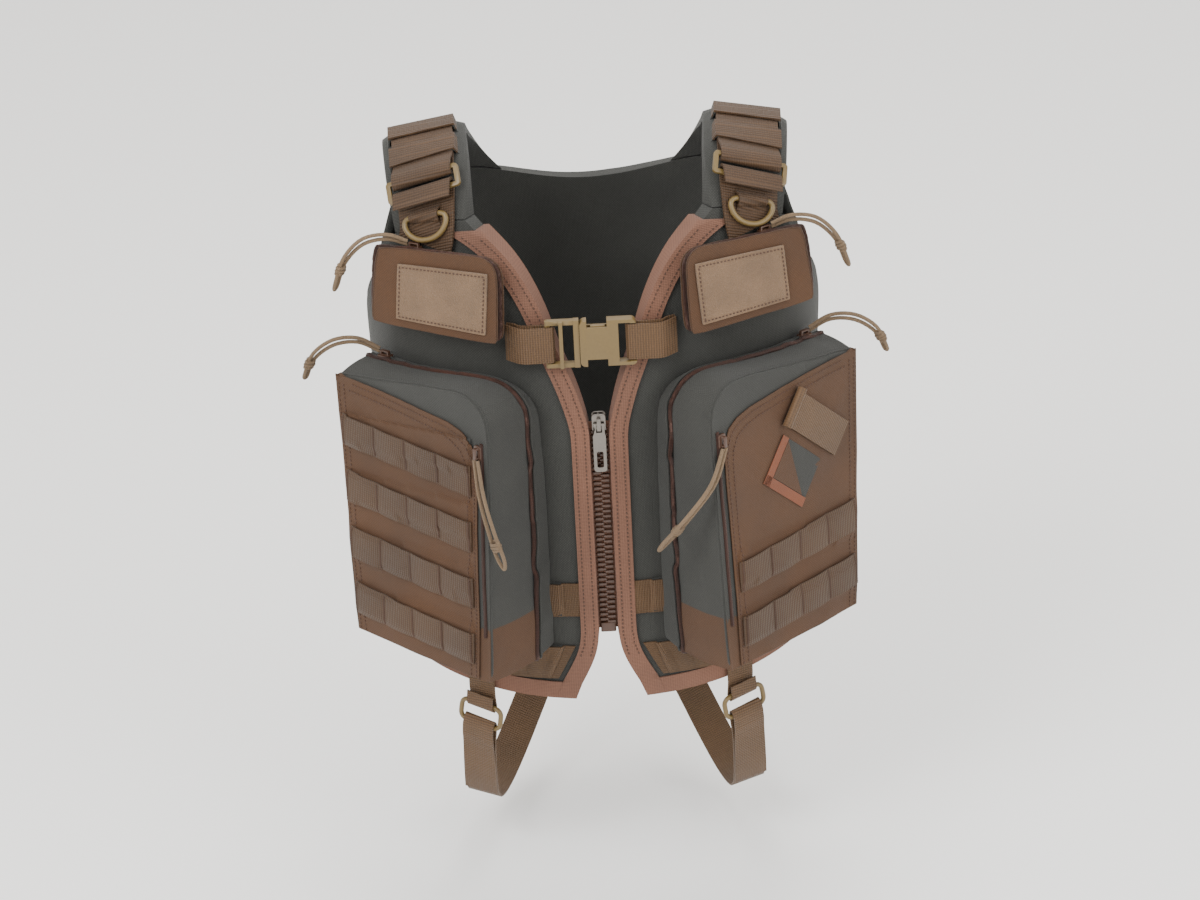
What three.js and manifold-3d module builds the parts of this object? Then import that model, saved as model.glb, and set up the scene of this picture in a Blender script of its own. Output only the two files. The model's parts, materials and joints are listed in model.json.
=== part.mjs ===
// A fishing vest worn on a torso: padded fronts and back, shoulder straps with ladder buckles and D-rings,
// two chest pouches, two large pockets, a centre zip, a side-release chest buckle and two leg straps.
// Millimetres. +Z is up, the front faces -Y, the wearer's left is +X. The origin is where the shoulders carry
// the vest: midway between the two shoulder pads, at the height of their undersides.
import * as THREE from "three";
import { mergeVertices } from "three/addons/utils/BufferGeometryUtils.js";
import Module from "manifold-3d";

const wasm = await Module();
wasm.setup();

// Driving dimensions
const chestWidth = 344;        // inside the vest, side seam to side seam, at the chest
const chestDepth = 222;        // inside the vest, front to back, at the chest
const frontLength = 441;       // shoulder to the lowest point of the fronts
const coverThickness = 13.7;   // outer cloth, foam and lining together
const clothThickness = 1.6;    // one wall of a padded cover
const edgeInset = 11;          // sewn margin round the foam
const clearance = 0.3;         // between neighbours that touch
const foamGap = 0.9;           // between foam and its cover
const bindingWidth = 13;
const tapeThickness = 1.4;     // binding and webbing cloth
const webbingWidth = 30;       // chest strap and leg straps
const webbingThickness = 1.8;
const shoulderWebbing = 50;
const padWidth = 68;
const padThickness = 9;
const padCrown = 4;            // how far a pad's edges drop below its middle
const zipTop = -187;           // height of the closed zip's upper end
const zipLength = 190;
const toothPitch = 6;
const chainHalf = 4.6;         // half the width of the closed teeth
const chainThickness = 3.4;
const sliderPlate = 1.5;
const sliderPost = 1.7;
const pocketWidth = 150;
const pocketHeight = 232;
const pouchWidth = 118;
const pouchHeight = 76;
const wall = 2.2;              // pocket and pouch cloth
const buckleHeight = 40;
const buckleThickness = 9;
const cordDiameter = 3.2;

const zipEdge = 9.6;           // from the zip's middle to a panel's edge

// Tables of [height, value]
const z0 = -frontLength;
const halfWidthAt = [[-700, 0.96], [z0, 0.96], [-360, 0.955], [-260, 0.965], [-160, 1], [-100, 1.005],
  [-40, 0.975], [0, 0.93], [40, 0.86]];
const frontDepthAt = [[-700, 0.99], [z0, 0.99], [-385, 1.01], [-278, 1.036], [-170, 1.063], [-120, 1.055],
  [-80, 1.01], [-40, 0.9], [0, 0.7], [40, 0.45]];
const backDepthAt = [[-700, 0.9], [z0, 0.9], [-350, 0.87], [-250, 0.89], [-140, 0.965], [-80, 0.94],
  [-40, 0.85], [0, 0.7], [40, 0.45]];
const neckEdgeAt = [[z0, 31], [z0 + 19, 22], [z0 + 39, 13], [z0 + 59, zipEdge], [-360, zipEdge], [-200, zipEdge],
  [-183, 13], [-170, 16.5], [-153, 22], [-128, 32], [-91, 45], [-60, 63], [-40, 82], [-28, 98]];
const armEdgeAt = [[-700, 92], [-180, 92], [-160, 91], [-140, 88], [-120, 83], [-100, 76], [-80, 68],
  [-60, 61], [-45, 58]];
const backArmAt = [[-700, 87.9], [-180, 87.9], [-150, 82], [-120, 74], [-90, 66], [-60, 60], [-45, 58]];

const wearerSide = (side) => (side < 0 ? "right" : "left");
const lerp = THREE.MathUtils.lerp;
const rad = THREE.MathUtils.degToRad;
const vec = (x, y, z) => new THREE.Vector3(x, y, z);

// A smooth value from a table of [height, value]
function smoothAt(table, z) {
  const last = table.length - 1;
  if (z <= table[0][0]) return table[0][1];
  if (z >= table[last][0]) return table[last][1];
  const i = table.findIndex((row) => row[0] > z) - 1;
  const rise = (k) => (table[k + 1][1] - table[k][1]) / (table[k + 1][0] - table[k][0]);
  const slope = (k) => {
    if (k === 0 || k === last) return 0;
    return rise(k - 1) * rise(k) <= 0 ? 0 : (rise(k - 1) + rise(k)) / 2;
  };
  const [za, va] = table[i], [zb, vb] = table[i + 1];
  const h = zb - za, t = (z - za) / h;
  return (2 * t ** 3 - 3 * t ** 2 + 1) * va + (t ** 3 - 2 * t ** 2 + t) * h * slope(i)
    + (3 * t ** 2 - 2 * t ** 3) * vb + (t ** 3 - t ** 2) * h * slope(i + 1);
}

// A point of the torso's surface: angle from the front centre in degrees, and how far outside the surface it is
function torso(side, angle, z, out) {
  const turn = rad(angle);
  const table = Math.cos(turn) > 0 ? frontDepthAt : backDepthAt;
  const a = smoothAt(halfWidthAt, z) * chestWidth / 2 + out;
  const b = smoothAt(table, z) * chestDepth / 2 + out;
  return vec(side * a * Math.sin(turn), -b * Math.cos(turn), z);
}

// The outward direction of the torso's surface
function torsoNormal(side, angle, z) {
  const across = torso(1, angle + 1, z, 0).sub(torso(1, angle - 1, z, 0));
  const up = torso(1, angle, z + 4, 0).sub(torso(1, angle, z - 4, 0));
  const n = across.cross(up).normalize();
  return vec(side * n.x, n.y, n.z);
}

// A closed mesh as a solid, for joining and cutting
function solid(geometry) {
  const bare = geometry.index ? geometry.toNonIndexed() : geometry.clone();
  for (const name of Object.keys(bare.attributes)) if (name !== "position") bare.deleteAttribute(name);
  const merged = mergeVertices(bare, 1e-4);
  return new wasm.Manifold(new wasm.Mesh({
    numProp: 3,
    vertProperties: merged.attributes.position.array,
    triVerts: new Uint32Array(merged.index.array),
  }));
}

function geometryOf(made) {
  const mesh = made.getMesh();
  const g = new THREE.BufferGeometry();
  g.setAttribute("position", new THREE.BufferAttribute(new Float32Array(mesh.vertProperties), 3));
  g.setIndex(new THREE.BufferAttribute(new Uint32Array(mesh.triVerts), 1));
  g.computeVertexNormals();
  return g;
}

const join = (...geometries) => geometryOf(geometries.map(solid).reduce((a, b) => a.add(b)));
// What is left of a piece after cutting, without loose crumbs
function cut(geometry, ...tools) {
  const left = tools.map(solid).reduce((a, b) => a.subtract(b), solid(geometry));
  return geometryOf(left.decompose().sort((a, b) => b.volume() - a.volume())[0]);
}

// The same mesh with its faces turned outward
function turnedOut(geometry) {
  const g = geometry.index ? geometry : mergeVertices(geometry);
  const at = g.attributes.position, index = g.index.array;
  const corner = (i) => vec(at.getX(index[i]), at.getY(index[i]), at.getZ(index[i]));
  let volume = 0;
  for (let i = 0; i < index.length; i += 3) volume += corner(i).dot(corner(i + 1).cross(corner(i + 2)));
  if (volume < 0) for (let i = 0; i < index.length; i += 3) [index[i], index[i + 1]] = [index[i + 1], index[i]];
  g.computeVertexNormals();
  return g;
}

// A mesh with every point moved
function moved(geometry, place) {
  const at = geometry.attributes.position;
  for (let i = 0; i < at.count; i++) {
    const p = place(at.getX(i), at.getY(i), at.getZ(i));
    at.setXYZ(i, p.x, p.y, p.z);
  }
  return turnedOut(geometry);
}

// A box whose every corner is moved by a function of its place, from 0 to 1 along each side
function bent(nx, ny, nz, place) {
  const g = new THREE.BoxGeometry(1, 1, 1, nx, ny, nz);
  return moved(g, (x, y, z) => place(x + 0.5, y + 0.5, z + 0.5));
}

// A shape drawn in a frame's own axes: across, along and out
const inFrame = (geometry, f) => moved(geometry, (x, y, z) => f.origin.clone()
  .addScaledVector(f.across, x).addScaledVector(f.along, y).addScaledVector(f.out, z));

function box(x0, x1, y0, y1, z0, z1) {
  return new THREE.BoxGeometry(x1 - x0, y1 - y0, z1 - z0)
    .translate((x0 + x1) / 2, (y0 + y1) / 2, (z0 + z1) / 2);
}

// A flat outline with rounded corners, from height low to high
function roundedPlate(x0, x1, y0, y1, low, high, radius, steps = 2) {
  const s = new THREE.Shape();
  s.moveTo(x0 + radius, y0);
  s.absarc(x1 - radius, y0 + radius, radius, -Math.PI / 2, 0, false);
  s.absarc(x1 - radius, y1 - radius, radius, 0, Math.PI / 2, false);
  s.absarc(x0 + radius, y1 - radius, radius, Math.PI / 2, Math.PI, false);
  s.absarc(x0 + radius, y0 + radius, radius, Math.PI, Math.PI * 1.5, false);
  const g = new THREE.ExtrudeGeometry(s, { depth: high - low, bevelEnabled: false, curveSegments: steps });
  return g.translate(0, 0, low);
}

// A surface line to lay straps on: points with outward directions, measured in millimetres along it
function surfaceLine(side, rows) {
  const line = new THREE.CatmullRomCurve3(rows.map((r) => r[0]), false, "centripetal");
  const facing = new THREE.CatmullRomCurve3(rows.map((r) => r[1]), false, "centripetal");
  const length = line.getLength();
  const frame = (s) => {
    const share = THREE.MathUtils.clamp(s / length, 0, 1);
    const t = line.getUtoTmapping(share);
    const origin = line.getPoint(t), along = line.getTangent(t);
    origin.addScaledVector(along, s - share * length);
    const across = along.clone().cross(facing.getPoint(t)).normalize();
    return { origin, along, across: across.clone().multiplyScalar(side), out: across.clone().cross(along) };
  };
  return { length, frame };
}

// A point beside a surface line: s along it, x across it, h above it
function beside(line, s, x, h) {
  const f = line.frame(s);
  return f.origin.clone().addScaledVector(f.across, x).addScaledVector(f.out, h);
}

// A band that follows a path of [s, h] points along a surface line
function ribbon(line, path, width, thickness, steps) {
  const middle = new THREE.SplineCurve(path.map(([s, h]) => new THREE.Vector2(s, h)));
  return bent(1, steps, 1, (x, y, z) => {
    const p = middle.getPoint(y), way = middle.getTangent(y);
    const off = (z - 0.5) * thickness;
    return beside(line, p.x - way.y * off, (x - 0.5) * width, p.y + way.x * off);
  });
}

const vest = new THREE.Group();
const materials = {
  slate: new THREE.MeshStandardMaterial({ color: 0x4a4f50, roughness: 0.9 }),
  foam: new THREE.MeshStandardMaterial({ color: 0x8a8a86, roughness: 1 }),
  brown: new THREE.MeshStandardMaterial({ color: 0x7a5a42, roughness: 0.85 }),
  webbing: new THREE.MeshStandardMaterial({ color: 0x8a6a4e, roughness: 0.8 }),
  binding: new THREE.MeshStandardMaterial({ color: 0x94665a, roughness: 0.85 }),
  loop: new THREE.MeshStandardMaterial({ color: 0x95806a, roughness: 1 }),
  plastic: new THREE.MeshStandardMaterial({ color: 0x9c8758, roughness: 0.45 }),
  steel: new THREE.MeshStandardMaterial({ color: 0xb8b4b0, roughness: 0.3, metalness: 1 }),
  zipPlastic: new THREE.MeshStandardMaterial({ color: 0x7d4f47, roughness: 0.5 }),
  cord: new THREE.MeshStandardMaterial({ color: 0xa98a70, roughness: 0.8 }),
};

function add(name, geometry, material) {
  const mesh = new THREE.Mesh(geometry, materials[material]);
  mesh.name = name;
  vest.add(mesh);
}

// Front panels: u runs from the neck edge to the side seam, t from the hem to the shoulder
const hemRise = 26, frontNeckTop = -29, frontSideTop = -48;
function frontPoint(side, u, t, out) {
  const zNeck = lerp(z0, frontNeckTop, t), zArm = lerp(z0 + hemRise, frontSideTop, t);
  const a = smoothAt(halfWidthAt, zNeck) * chestWidth / 2 + coverThickness;
  const neck = THREE.MathUtils.radToDeg(Math.asin(smoothAt(neckEdgeAt, zNeck) / a));
  return torso(side, lerp(neck, smoothAt(armEdgeAt, zArm), u), lerp(zNeck, zArm, u * u * (3 - 2 * u)), out);
}

// Back panel: u runs from one side seam (-1) to the other (1), t from the hem to the shoulders
const backTop = -45, neckScoop = 27;
function backPoint(u, t, out) {
  const zArm = lerp(z0 + hemRise, backTop, t);
  const dip = Math.cos(Math.PI / 2 * Math.min(1, Math.abs(u) / 0.75)) ** 2;
  const angle = 180 - Math.abs(u) * smoothAt(backArmAt, zArm);
  return torso(Math.sign(u) || 1, angle, zArm - t * neckScoop * dip, out);
}

// A padded cover: outer cloth and lining sewn together round the foam, left open where it meets its neighbour
function paddedCover(name, point, range, foam, nu, nt, bands) {
  const inset = edgeInset / frontLength, inner = clothThickness, outer = coverThickness - clothThickness;
  const slab = (a, b, low, high, t0, t1) => bent(nu, nt, 1,
    (u, t, w) => point(lerp(a, b, u), lerp(t0, t1, t), lerp(low, high, w)));
  const whole = slab(range[0], range[1], 0, coverThickness, 0, 1);
  const space = slab(foam[0], foam[1] + 0.02, inner, outer, inset, 1 - inset * 2);
  const shell = cut(whole, space);
  const gapU = clearance / 150;
  add("foam_" + name, slab(foam[0] + gapU * 4, foam[1] - gapU, inner + foamGap, outer - foamGap,
    inset + gapU * 2, 1 - inset * 2 - gapU * 2), "foam");
  add("cover_" + name, bands.length ? join(shell, ...bands) : shell, "slate");
}

const panelSteps = [6, 11];

// Waist webbing, sewn on the front panels behind the pockets
const waistHeights = [-351, -409];
function waistBand(side, z) {
  const t = (z - z0) / (frontLength + frontNeckTop), half = webbingWidth / 2 / (frontLength + frontNeckTop);
  return bent(6, 1, 1, (x, y, w) => frontPoint(side, lerp(0.1, 0.96, x), t + (y * 2 - 1) * half,
    coverThickness + lerp(-1.2, webbingThickness, w)));
}

function frontCover(side) {
  const point = (u, t, out) => frontPoint(side, u, t, out);
  paddedCover("front_" + wearerSide(side), point, [0, 1], [0.09, 1], ...panelSteps, waistHeights.map((z) => waistBand(side, z)));
}

function backCover() {
  const point = (u, t, out) => backPoint(u, t, out);
  const inset = edgeInset / frontLength, inner = clothThickness, outer = coverThickness - clothThickness;
  const slab = (a, low, high, t0, t1) => bent(10, 10, 1,
    (u, t, w) => point(lerp(-a, a, u), lerp(t0, t1, t), lerp(low, high, w)));
  const gapU = clearance / 150;
  add("cover_back", cut(slab(1, 0, coverThickness, 0, 1), slab(1.001, inner, outer, inset, 1 - inset * 2)), "slate");
  add("foam_back", slab(1 - gapU, inner + foamGap, outer - foamGap, inset + gapU * 2, 1 - inset * 2 - gapU * 2), "foam");
}

// Binding: a folded tape round the neck edge, the zip edge and the hem, fitted over the panel's own faces
function grownPanel(side) {
  const c = clearance, share = c / 400;
  return bent(...panelSteps, 1, (u, t, w) => frontPoint(side, u - (1 - u) * c / 90,
    lerp(-share, 1 + share, t), lerp(-c, coverThickness + c, w)));
}

function edgeBinding(side) {
  const grow = clearance + tapeThickness;
  const out = (w) => lerp(-grow, coverThickness + grow, w);
  const neck = bent(1, 30, 1, (x, y, w) => {
    const t = lerp(0.004, 0.985, y), h = out(w);
    const base = frontPoint(side, 0, t, h), step = frontPoint(side, 0.02, t, h).sub(base);
    const along = frontPoint(side, 0, t + 0.01, h).sub(base).normalize();
    const slant = step.clone().normalize().cross(along).length();
    return frontPoint(side, lerp(-grow, bindingWidth, x) * 0.02 / step.length() / slant, t, h);
  });
  const hem = bent(10, 1, 1, (x, y, w) => frontPoint(side, lerp(-0.008, 0.93, x),
    lerp(-grow, bindingWidth, y) / (frontLength + frontNeckTop), out(w) + 0.1 * (w - 0.5)));
  add("binding_" + wearerSide(side), cut(join(neck, hem), grownPanel(side)), "binding");
}

// Centre zip: two tapes with teeth, meeting on a straight line that lies inside the panels' thickness
const zipFrame = (() => {
  const low = torso(1, 0, zipTop - zipLength, coverThickness / 2 + 1);
  const high = torso(1, 0, zipTop, coverThickness / 2 + 1);
  const along = high.clone().sub(low).normalize();
  const across = vec(1, 0, 0);
  return { origin: low, along, across, out: across.clone().cross(along) };
})();
const postChannel = sliderPost / 2 + clearance;

function zipChain(side) {
  const half = chainThickness / 2, count = Math.floor((zipLength - 6) / toothPitch);
  const tape = box(postChannel + 0.9, zipEdge - tapeThickness - clearance * 3, 0, zipLength - 4, -0.5, 0.5);
  const shift = side < 0 ? 0 : toothPitch / 2;
  const teeth = Array.from({ length: count }, (_, i) => box(postChannel, chainHalf, 3 + shift + i * toothPitch,
    3 + shift + i * toothPitch + toothPitch * 0.56, -half, half));
  const stop = box(postChannel - 0.5, chainHalf + 0.9, -2, 2.6, -half - 1, half + 1);
  const made = join(tape, ...teeth, stop);
  add("zip_chain_" + wearerSide(side), inFrame(made.scale(side, 1, 1), zipFrame), "zipPlastic");
}

// The slider: two plates round the teeth joined by a post that runs in the channel, and a loop for the pull
const sliderLength = 15, sliderHalf = 5.6, bailTop = 4.4;
function zipSlider() {
  const near = chainThickness / 2 + clearance, y0 = zipLength - 4 - sliderLength + 6;
  const back = roundedPlate(-sliderHalf, sliderHalf, y0, y0 + sliderLength, -near - sliderPlate, -near, 2.5);
  const front = roundedPlate(-sliderHalf, sliderHalf, y0, y0 + sliderLength, near, near + sliderPlate, 2.5);
  const post = box(-sliderPost / 2, sliderPost / 2, y0 + 1, y0 + sliderLength - 1, -near - 0.5, near + 0.5);
  const top = near + sliderPlate;
  const bail = cut(box(-1.6, 1.6, y0 + 2, y0 + 12, top - 0.5, top + bailTop),
    box(-2, 2, y0 + 3.6, y0 + 10.4, top + 0.4, top + 3));
  add("zip_slider", inFrame(join(back, front, post, bail), zipFrame), "steel");
  const pin = y0 + 7, mid = top + 1.7, k = 0.85;
  const ring = cut(box(-4.6, 4.6, pin - 9, pin + k, mid - k, mid + k),
    box(-2.4, 2.4, pin - 7, pin - k, mid - 2, mid + 2));
  const tab = roundedPlate(-5.2, 5.2, pin - 42, pin - 7.8, mid - k, mid + k, 2.6);
  const window = roundedPlate(-2.6, 2.6, pin - 38, pin - 24, mid - 2, mid + 2, 1.4);
  add("zip_pull", inFrame(cut(join(ring, tab), window), zipFrame), "steel");
}

// Chest strap and side-release buckle, drawn flat: x across the chest, y up, z forward
const buckleFrame = { origin: vec(0, -132, -119), across: vec(1, 0, 0), along: vec(0, 0, 1), out: vec(0, -1, 0) };
const socketStart = -11.7, socketEnd = 33, plugEnd = -39, barWidth = 4;
const half = buckleHeight / 2;

function buckle() {
  const T = buckleThickness, mid = T / 2, bar = [mid - 1.7, mid + 1.7];
  const rails = [-1, 1].map((k) => box(plugEnd + 1, -12, k * (half - 1.9) - 1.8, k * (half - 1.9) + 1.8, 1.6, T - 1.6));
  const outerBar = box(plugEnd, plugEnd + barWidth, -half, half, ...bar);
  const arch = box(-28, -25, -half + 1, half - 1, T - 0.2, T + 1.4);
  const posts = [-1, 1].map((k) => box(-28, -25, k * (half - 1.9) - 1.7, k * (half - 1.9) + 1.7, T / 2, T + 1.3));
  const root = box(-16.5, -12, -half, half, 1, T - 1);
  const guide = box(-13, 7, -3.6, 3.6, mid - 1.6, mid + 1.6);
  add("buckle_plug", inFrame(join(outerBar, ...rails, arch, ...posts, root, guide), buckleFrame), "plastic");
  for (const k of [-1, 1]) {
    const arm = join(box(-11.7, 6, k * 9 - 1.6, k * 9 + 1.6, mid - 1.9, mid + 1.9),
      box(-3, 8.5, k * 11.6 - 2.6, k * 11.6 + 2.6, mid - 1.9, mid + 1.9));
    add(k < 0 ? "buckle_arm_lower" : "buckle_arm_upper", inFrame(arm, buckleFrame), "plastic");
  }
  const shell = roundedPlate(socketStart, socketEnd, -half + 0.6, half - 0.6, 0, T, 4, 3);
  const hollow = box(socketStart - 1, 13, -15, 15, 2, T - 2);
  const windows = [-1, 1].map((k) => box(-6, 10, k * 17 - 3.4, k * 17 + 3.4, -1, T + 1));
  const slot = box(19, 28, -half + 3.4, half - 3.4, -1, T + 1);
  const thinned = [[-1, mid - 1.7], [mid + 1.7, T + 1]].map(([a, b]) => box(26, 34, -16.2, 16.2, a, b));
  add("buckle_socket", inFrame(cut(shell, hollow, ...windows, slot, ...thinned), buckleFrame), "plastic");
}

// A strap sewn on a panel that loops round a buckle bar: path points are [x, forward]
function loopStrap(name, path, side) {
  const line = new THREE.SplineCurve(path.map(([x, z]) => new THREE.Vector2(x * side, z)));
  const strapPiece = bent(1, 32, 1, (x, y, z) => {
    const p = line.getPoint(y), way = line.getTangent(y), off = (z - 0.5) * webbingThickness;
    return vec(p.x - way.y * off, -(p.y + way.x * off), buckleFrame.origin.z + (x - 0.5) * webbingWidth);
  });
  add(name, strapPiece, "webbing");
}

function chestStraps() {
  const f = 132 + buckleThickness / 2, k = 3.1;
  const loop = (bar, sewn) => [[sewn, 124.6], [sewn - 6, 127.6], [sewn - 11, f - k - 0.4], [bar + 8, f - k],
    [bar, f - k], [bar - 3, f - k + 0.5], [bar - 4.8, f], [bar - 3, f + k - 0.5], [bar, f + k], [bar + 8, f + k],
    [sewn - 12, f + k], [sewn - 5, f - 2], [sewn + 1, 128.4]];
  loopStrap("chest_strap_right", loop(-plugEnd - barWidth / 2 , 69), -1);
  loopStrap("chest_strap_left", loop(socketEnd - 2.8, 64), 1);
}

// Shoulders: a pad from the front panel to the back panel, with webbing, a ladder buckle and a D-ring on it
function shoulderLine(side) {
  const on = (angle, z) => [torso(side, angle, z, 0), torsoNormal(side, angle, z)];
  return surfaceLine(side, [on(47, -62), on(46, -42), [vec(side * 124, -50, -14), vec(side * 0.3, -0.62, 0.72)],
    [vec(side * 127, -20, -1), vec(side * 0.18, -0.2, 0.96)], [vec(side * 129, 15, -1), vec(side * 0.15, 0.15, 0.97)],
    [vec(side * 127, 48, -20), vec(side * 0.2, 0.6, 0.77)], on(136, -50), on(138, -90), on(140, -150)]);
}

const strapTop = coverThickness + clearance + webbingThickness / 2;
const upperTop = strapTop + clearance * 2;
const ringAt = 29, ladderAt = 42, ladderLift = 19.4;

function shoulder(side) {
  const name = wearerSide(side), line = shoulderLine(side), T = coverThickness;
  const span = [28, 208];
  const pad = bent(8, 13, 1, (x, y, w) => {
    const off = (x - 0.5) * 2, s = lerp(span[0], span[1], y);
    const edge = Math.max(0, Math.abs(off) - 0.75) / 0.25;
    const p = beside(line, s, off * padWidth / 2, lerp(edge ** 2 * 1.2, T - padCrown * edge ** 2, w));
    const front = frontPoint(side, x, 1.002, w * T);
    const rear = backPoint(side * lerp(0.42, 0.98, x), 1.002, w * T);
    const nearFront = Math.max(0, 1 - y / 0.12), nearRear = Math.max(0, (y - 0.84) / 0.16);
    return p.lerp(front, nearFront).lerp(rear, nearRear);
  });
  const keepers = [[68, 84], [96, 114]].map(([s0, s1]) => {
    const loop = [[-29.5, 9], [-27.6, 14], [-26.4, 20.3], [26.4, 20.3], [27.6, 14], [29.5, 9]];
    return bent(5, 2, 1, (x, y, w) => {
      const [off, h] = loop[Math.round(x * 5)], grow = (w - 0.5) * tapeThickness;
      return beside(line, lerp(s0, s1, y), off + Math.sign(off) * grow, h + (h > 18 ? grow : 0));
    });
  });
  add("shoulder_pad_" + name, join(pad, ...keepers), "slate");

  const L = ladderAt, front = ribbon(line, [[9, strapTop], [20, strapTop], [34, strapTop], [L, strapTop],
    [L + 4.8, strapTop + 0.6], [L + 6.4, ladderLift + 0.4], [L + 4.4, ladderLift + 4.6], [L, ladderLift + 4.9],
    [L - 5, ladderLift + 5.6]], shoulderWebbing, webbingThickness, 24);
  const tab = ribbon(line, [[ringAt - 8, 15], [ringAt - 4.6, 16.6], [ringAt - 3.6, 19], [ringAt, 22.2],
    [ringAt + 3.6, 19], [ringAt + 4.6, 16.6], [ringAt + 8, 15]], 26, tapeThickness, 16);
  add("front_webbing_" + name, join(front, tab), "webbing");

  const upper = ribbon(line, [[line.length - 6, upperTop], [line.length - 60, upperTop + 0.5], [200, upperTop + 0.8],
    [150, upperTop], [100, upperTop], [76, upperTop], [L + 16, upperTop], [L + 11.6, upperTop + 1],
    [L + 9.8, ladderLift + 0.4], [L + 11.6, ladderLift + 4.6], [L + 16, ladderLift + 4.7], [L + 21, ladderLift + 1],
    [L + 26, upperTop + 2.1], [80, upperTop + 2.1], [100, upperTop + 2.1], [118, upperTop + 2.1]],
    shoulderWebbing, webbingThickness, 44);
  add("adjuster_webbing_" + name, upper, "webbing");

  const f = line.frame(L + 8);
  const ladderFrame = { ...f, origin: f.origin.clone().addScaledVector(f.out, ladderLift) };
  const outer = roundedPlate(-31, 31, -9.6, 9.6, -1.6, 1.6, 3, 2);
  const slotHole = box(-27.2, 27.2, -6, 6, -3, 3);
  add("ladder_buckle_" + name, inFrame(cut(outer, slotHole), ladderFrame), "plastic");

  const r = line.frame(ringAt), ringHeight = 18.7;
  const ringFrame = { ...r, origin: r.origin.clone().addScaledVector(r.out, ringHeight) };
  const outline = [[-16, 0], [-8, 0], [0, 0], [8, 0], [16, 0], [19, -2.5], [18.6, -8], [14, -14.5], [7, -18.4], [0, -19.4],
    [-7, -18.4], [-14, -14.5], [-18.6, -8], [-19, -2.5]].map(([x, y]) => vec(x, y, 0));
  const ring = new THREE.TubeGeometry(new THREE.CatmullRomCurve3(outline, true), 24, 2, 6, true);
  add("d_ring_" + name, inFrame(mergeVertices(ring), ringFrame), "plastic");
}

// A bag between the torso and a flat front. x runs from the inner to the outer edge, y from the bottom up,
// w from the torso out to the front
function bagShape(side, p) {
  const yaw = rad(p.yaw), tilt = rad(p.tilt);
  const across = vec(side * Math.cos(yaw), Math.sin(yaw), 0);
  const out = vec(side * Math.sin(yaw) * Math.cos(tilt), -Math.cos(yaw) * Math.cos(tilt), Math.sin(tilt));
  const along = out.clone().cross(across).multiplyScalar(side);
  const frame = { origin: vec(side * p.corner[0], p.corner[1], p.corner[2]), across, along, out };
  const face = (x, y) => [lerp(p.width * x, p.lean + p.topWidth * x, y), y * lerp(p.innerHeight, p.outerHeight, x)];
  const at = (x, y, w) => {
    const [u, v] = face(x, y);
    const front = frame.origin.clone().addScaledVector(across, u).addScaledVector(along, v);
    const back = torso(side, lerp(p.angles[0], p.angles[1], x), lerp(p.heights[0], p.heights[1], y), p.lift);
    return back.lerp(front, w);
  };
  return { ...p, frame, face, at };
}

// Moves a point of the unit square so that its corners become rounded
function roundedSpot(x, y, rx, ry, corners) {
  const left = x < rx, right = x > 1 - rx, low = y < ry, high = y > 1 - ry;
  if (!(left || right) || !(low || high)) return [x, y];
  const a = (left ? rx - x : x - 1 + rx) / rx, b = (low ? ry - y : y - 1 + ry) / ry;
  const k = corners[(high ? 2 : 0) + (right ? 1 : 0)];
  const ax = a * lerp(1, Math.sqrt(1 - b * b / 2), k), by = b * lerp(1, Math.sqrt(1 - a * a / 2), k);
  return [left ? rx * (1 - ax) : 1 - rx + rx * ax, low ? ry * (1 - by) : 1 - ry + ry * by];
}

const knot = (x, n, r) => {
  const i = x * n;
  if (i <= 2) return r * i / 2;
  return i >= n - 2 ? 1 - r * (n - i) / 2 : r + (1 - 2 * r) * (i - 2) / (n - 4);
};

function bagBlock(bag, w0, w1, inset) {
  const rx = bag.radius / bag.width, ry = bag.radius / bag.innerHeight;
  return bent(bag.steps[0], bag.steps[1], 2, (x, y, w) => {
    const [sx, sy] = roundedSpot(knot(x, bag.steps[0], rx), knot(y, bag.steps[1], ry), rx, ry, bag.corners);
    const share = lerp(w0, w1, w), puff = 1 + bag.puff * Math.sin(Math.PI * share);
    const inX = 0.5 + (sx - 0.5) * (1 - 2 * inset / bag.width) * puff;
    const inY = 0.5 + (sy - 0.5) * (1 - 2 * inset / bag.innerHeight) * puff;
    return bag.at(inX, inY, share);
  });
}

function bagParts(bag) {
  const depth = bag.depth, gap = clearance / depth;
  const base = cut(bagBlock(bag, 0, bag.split, 0), bagBlock(bag, wall / depth, bag.split + 0.06, wall));
  const lid = cut(bagBlock(bag, bag.split + gap, 1, 0), bagBlock(bag, bag.split - 0.06, 1 - wall / depth, wall));
  return { base, lid };
}

// A zip puller: a plate with a loop for a cord
function smallSlider(frame) {
  const plate = roundedPlate(-4, 4, -6, 6, 0, 2, 2);
  const bail = cut(box(-1.5, 1.5, -4.5, 4.5, 1.5, 5.6), box(-2, 2, -3, 3, 2.4, 4.4));
  return inFrame(join(plate, bail), frame);
}

// A thin cord drawn along points
function cordTube(points) {
  const curve = new THREE.CatmullRomCurve3(points, false, "centripetal");
  const circle = new THREE.Shape().absarc(0, 0, cordDiameter / 2, 0, Math.PI * 2);
  const g = new THREE.ExtrudeGeometry(circle, { steps: 26, bevelEnabled: false, extrudePath: curve, curveSegments: 3 });
  return turnedOut(g);
}

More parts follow.
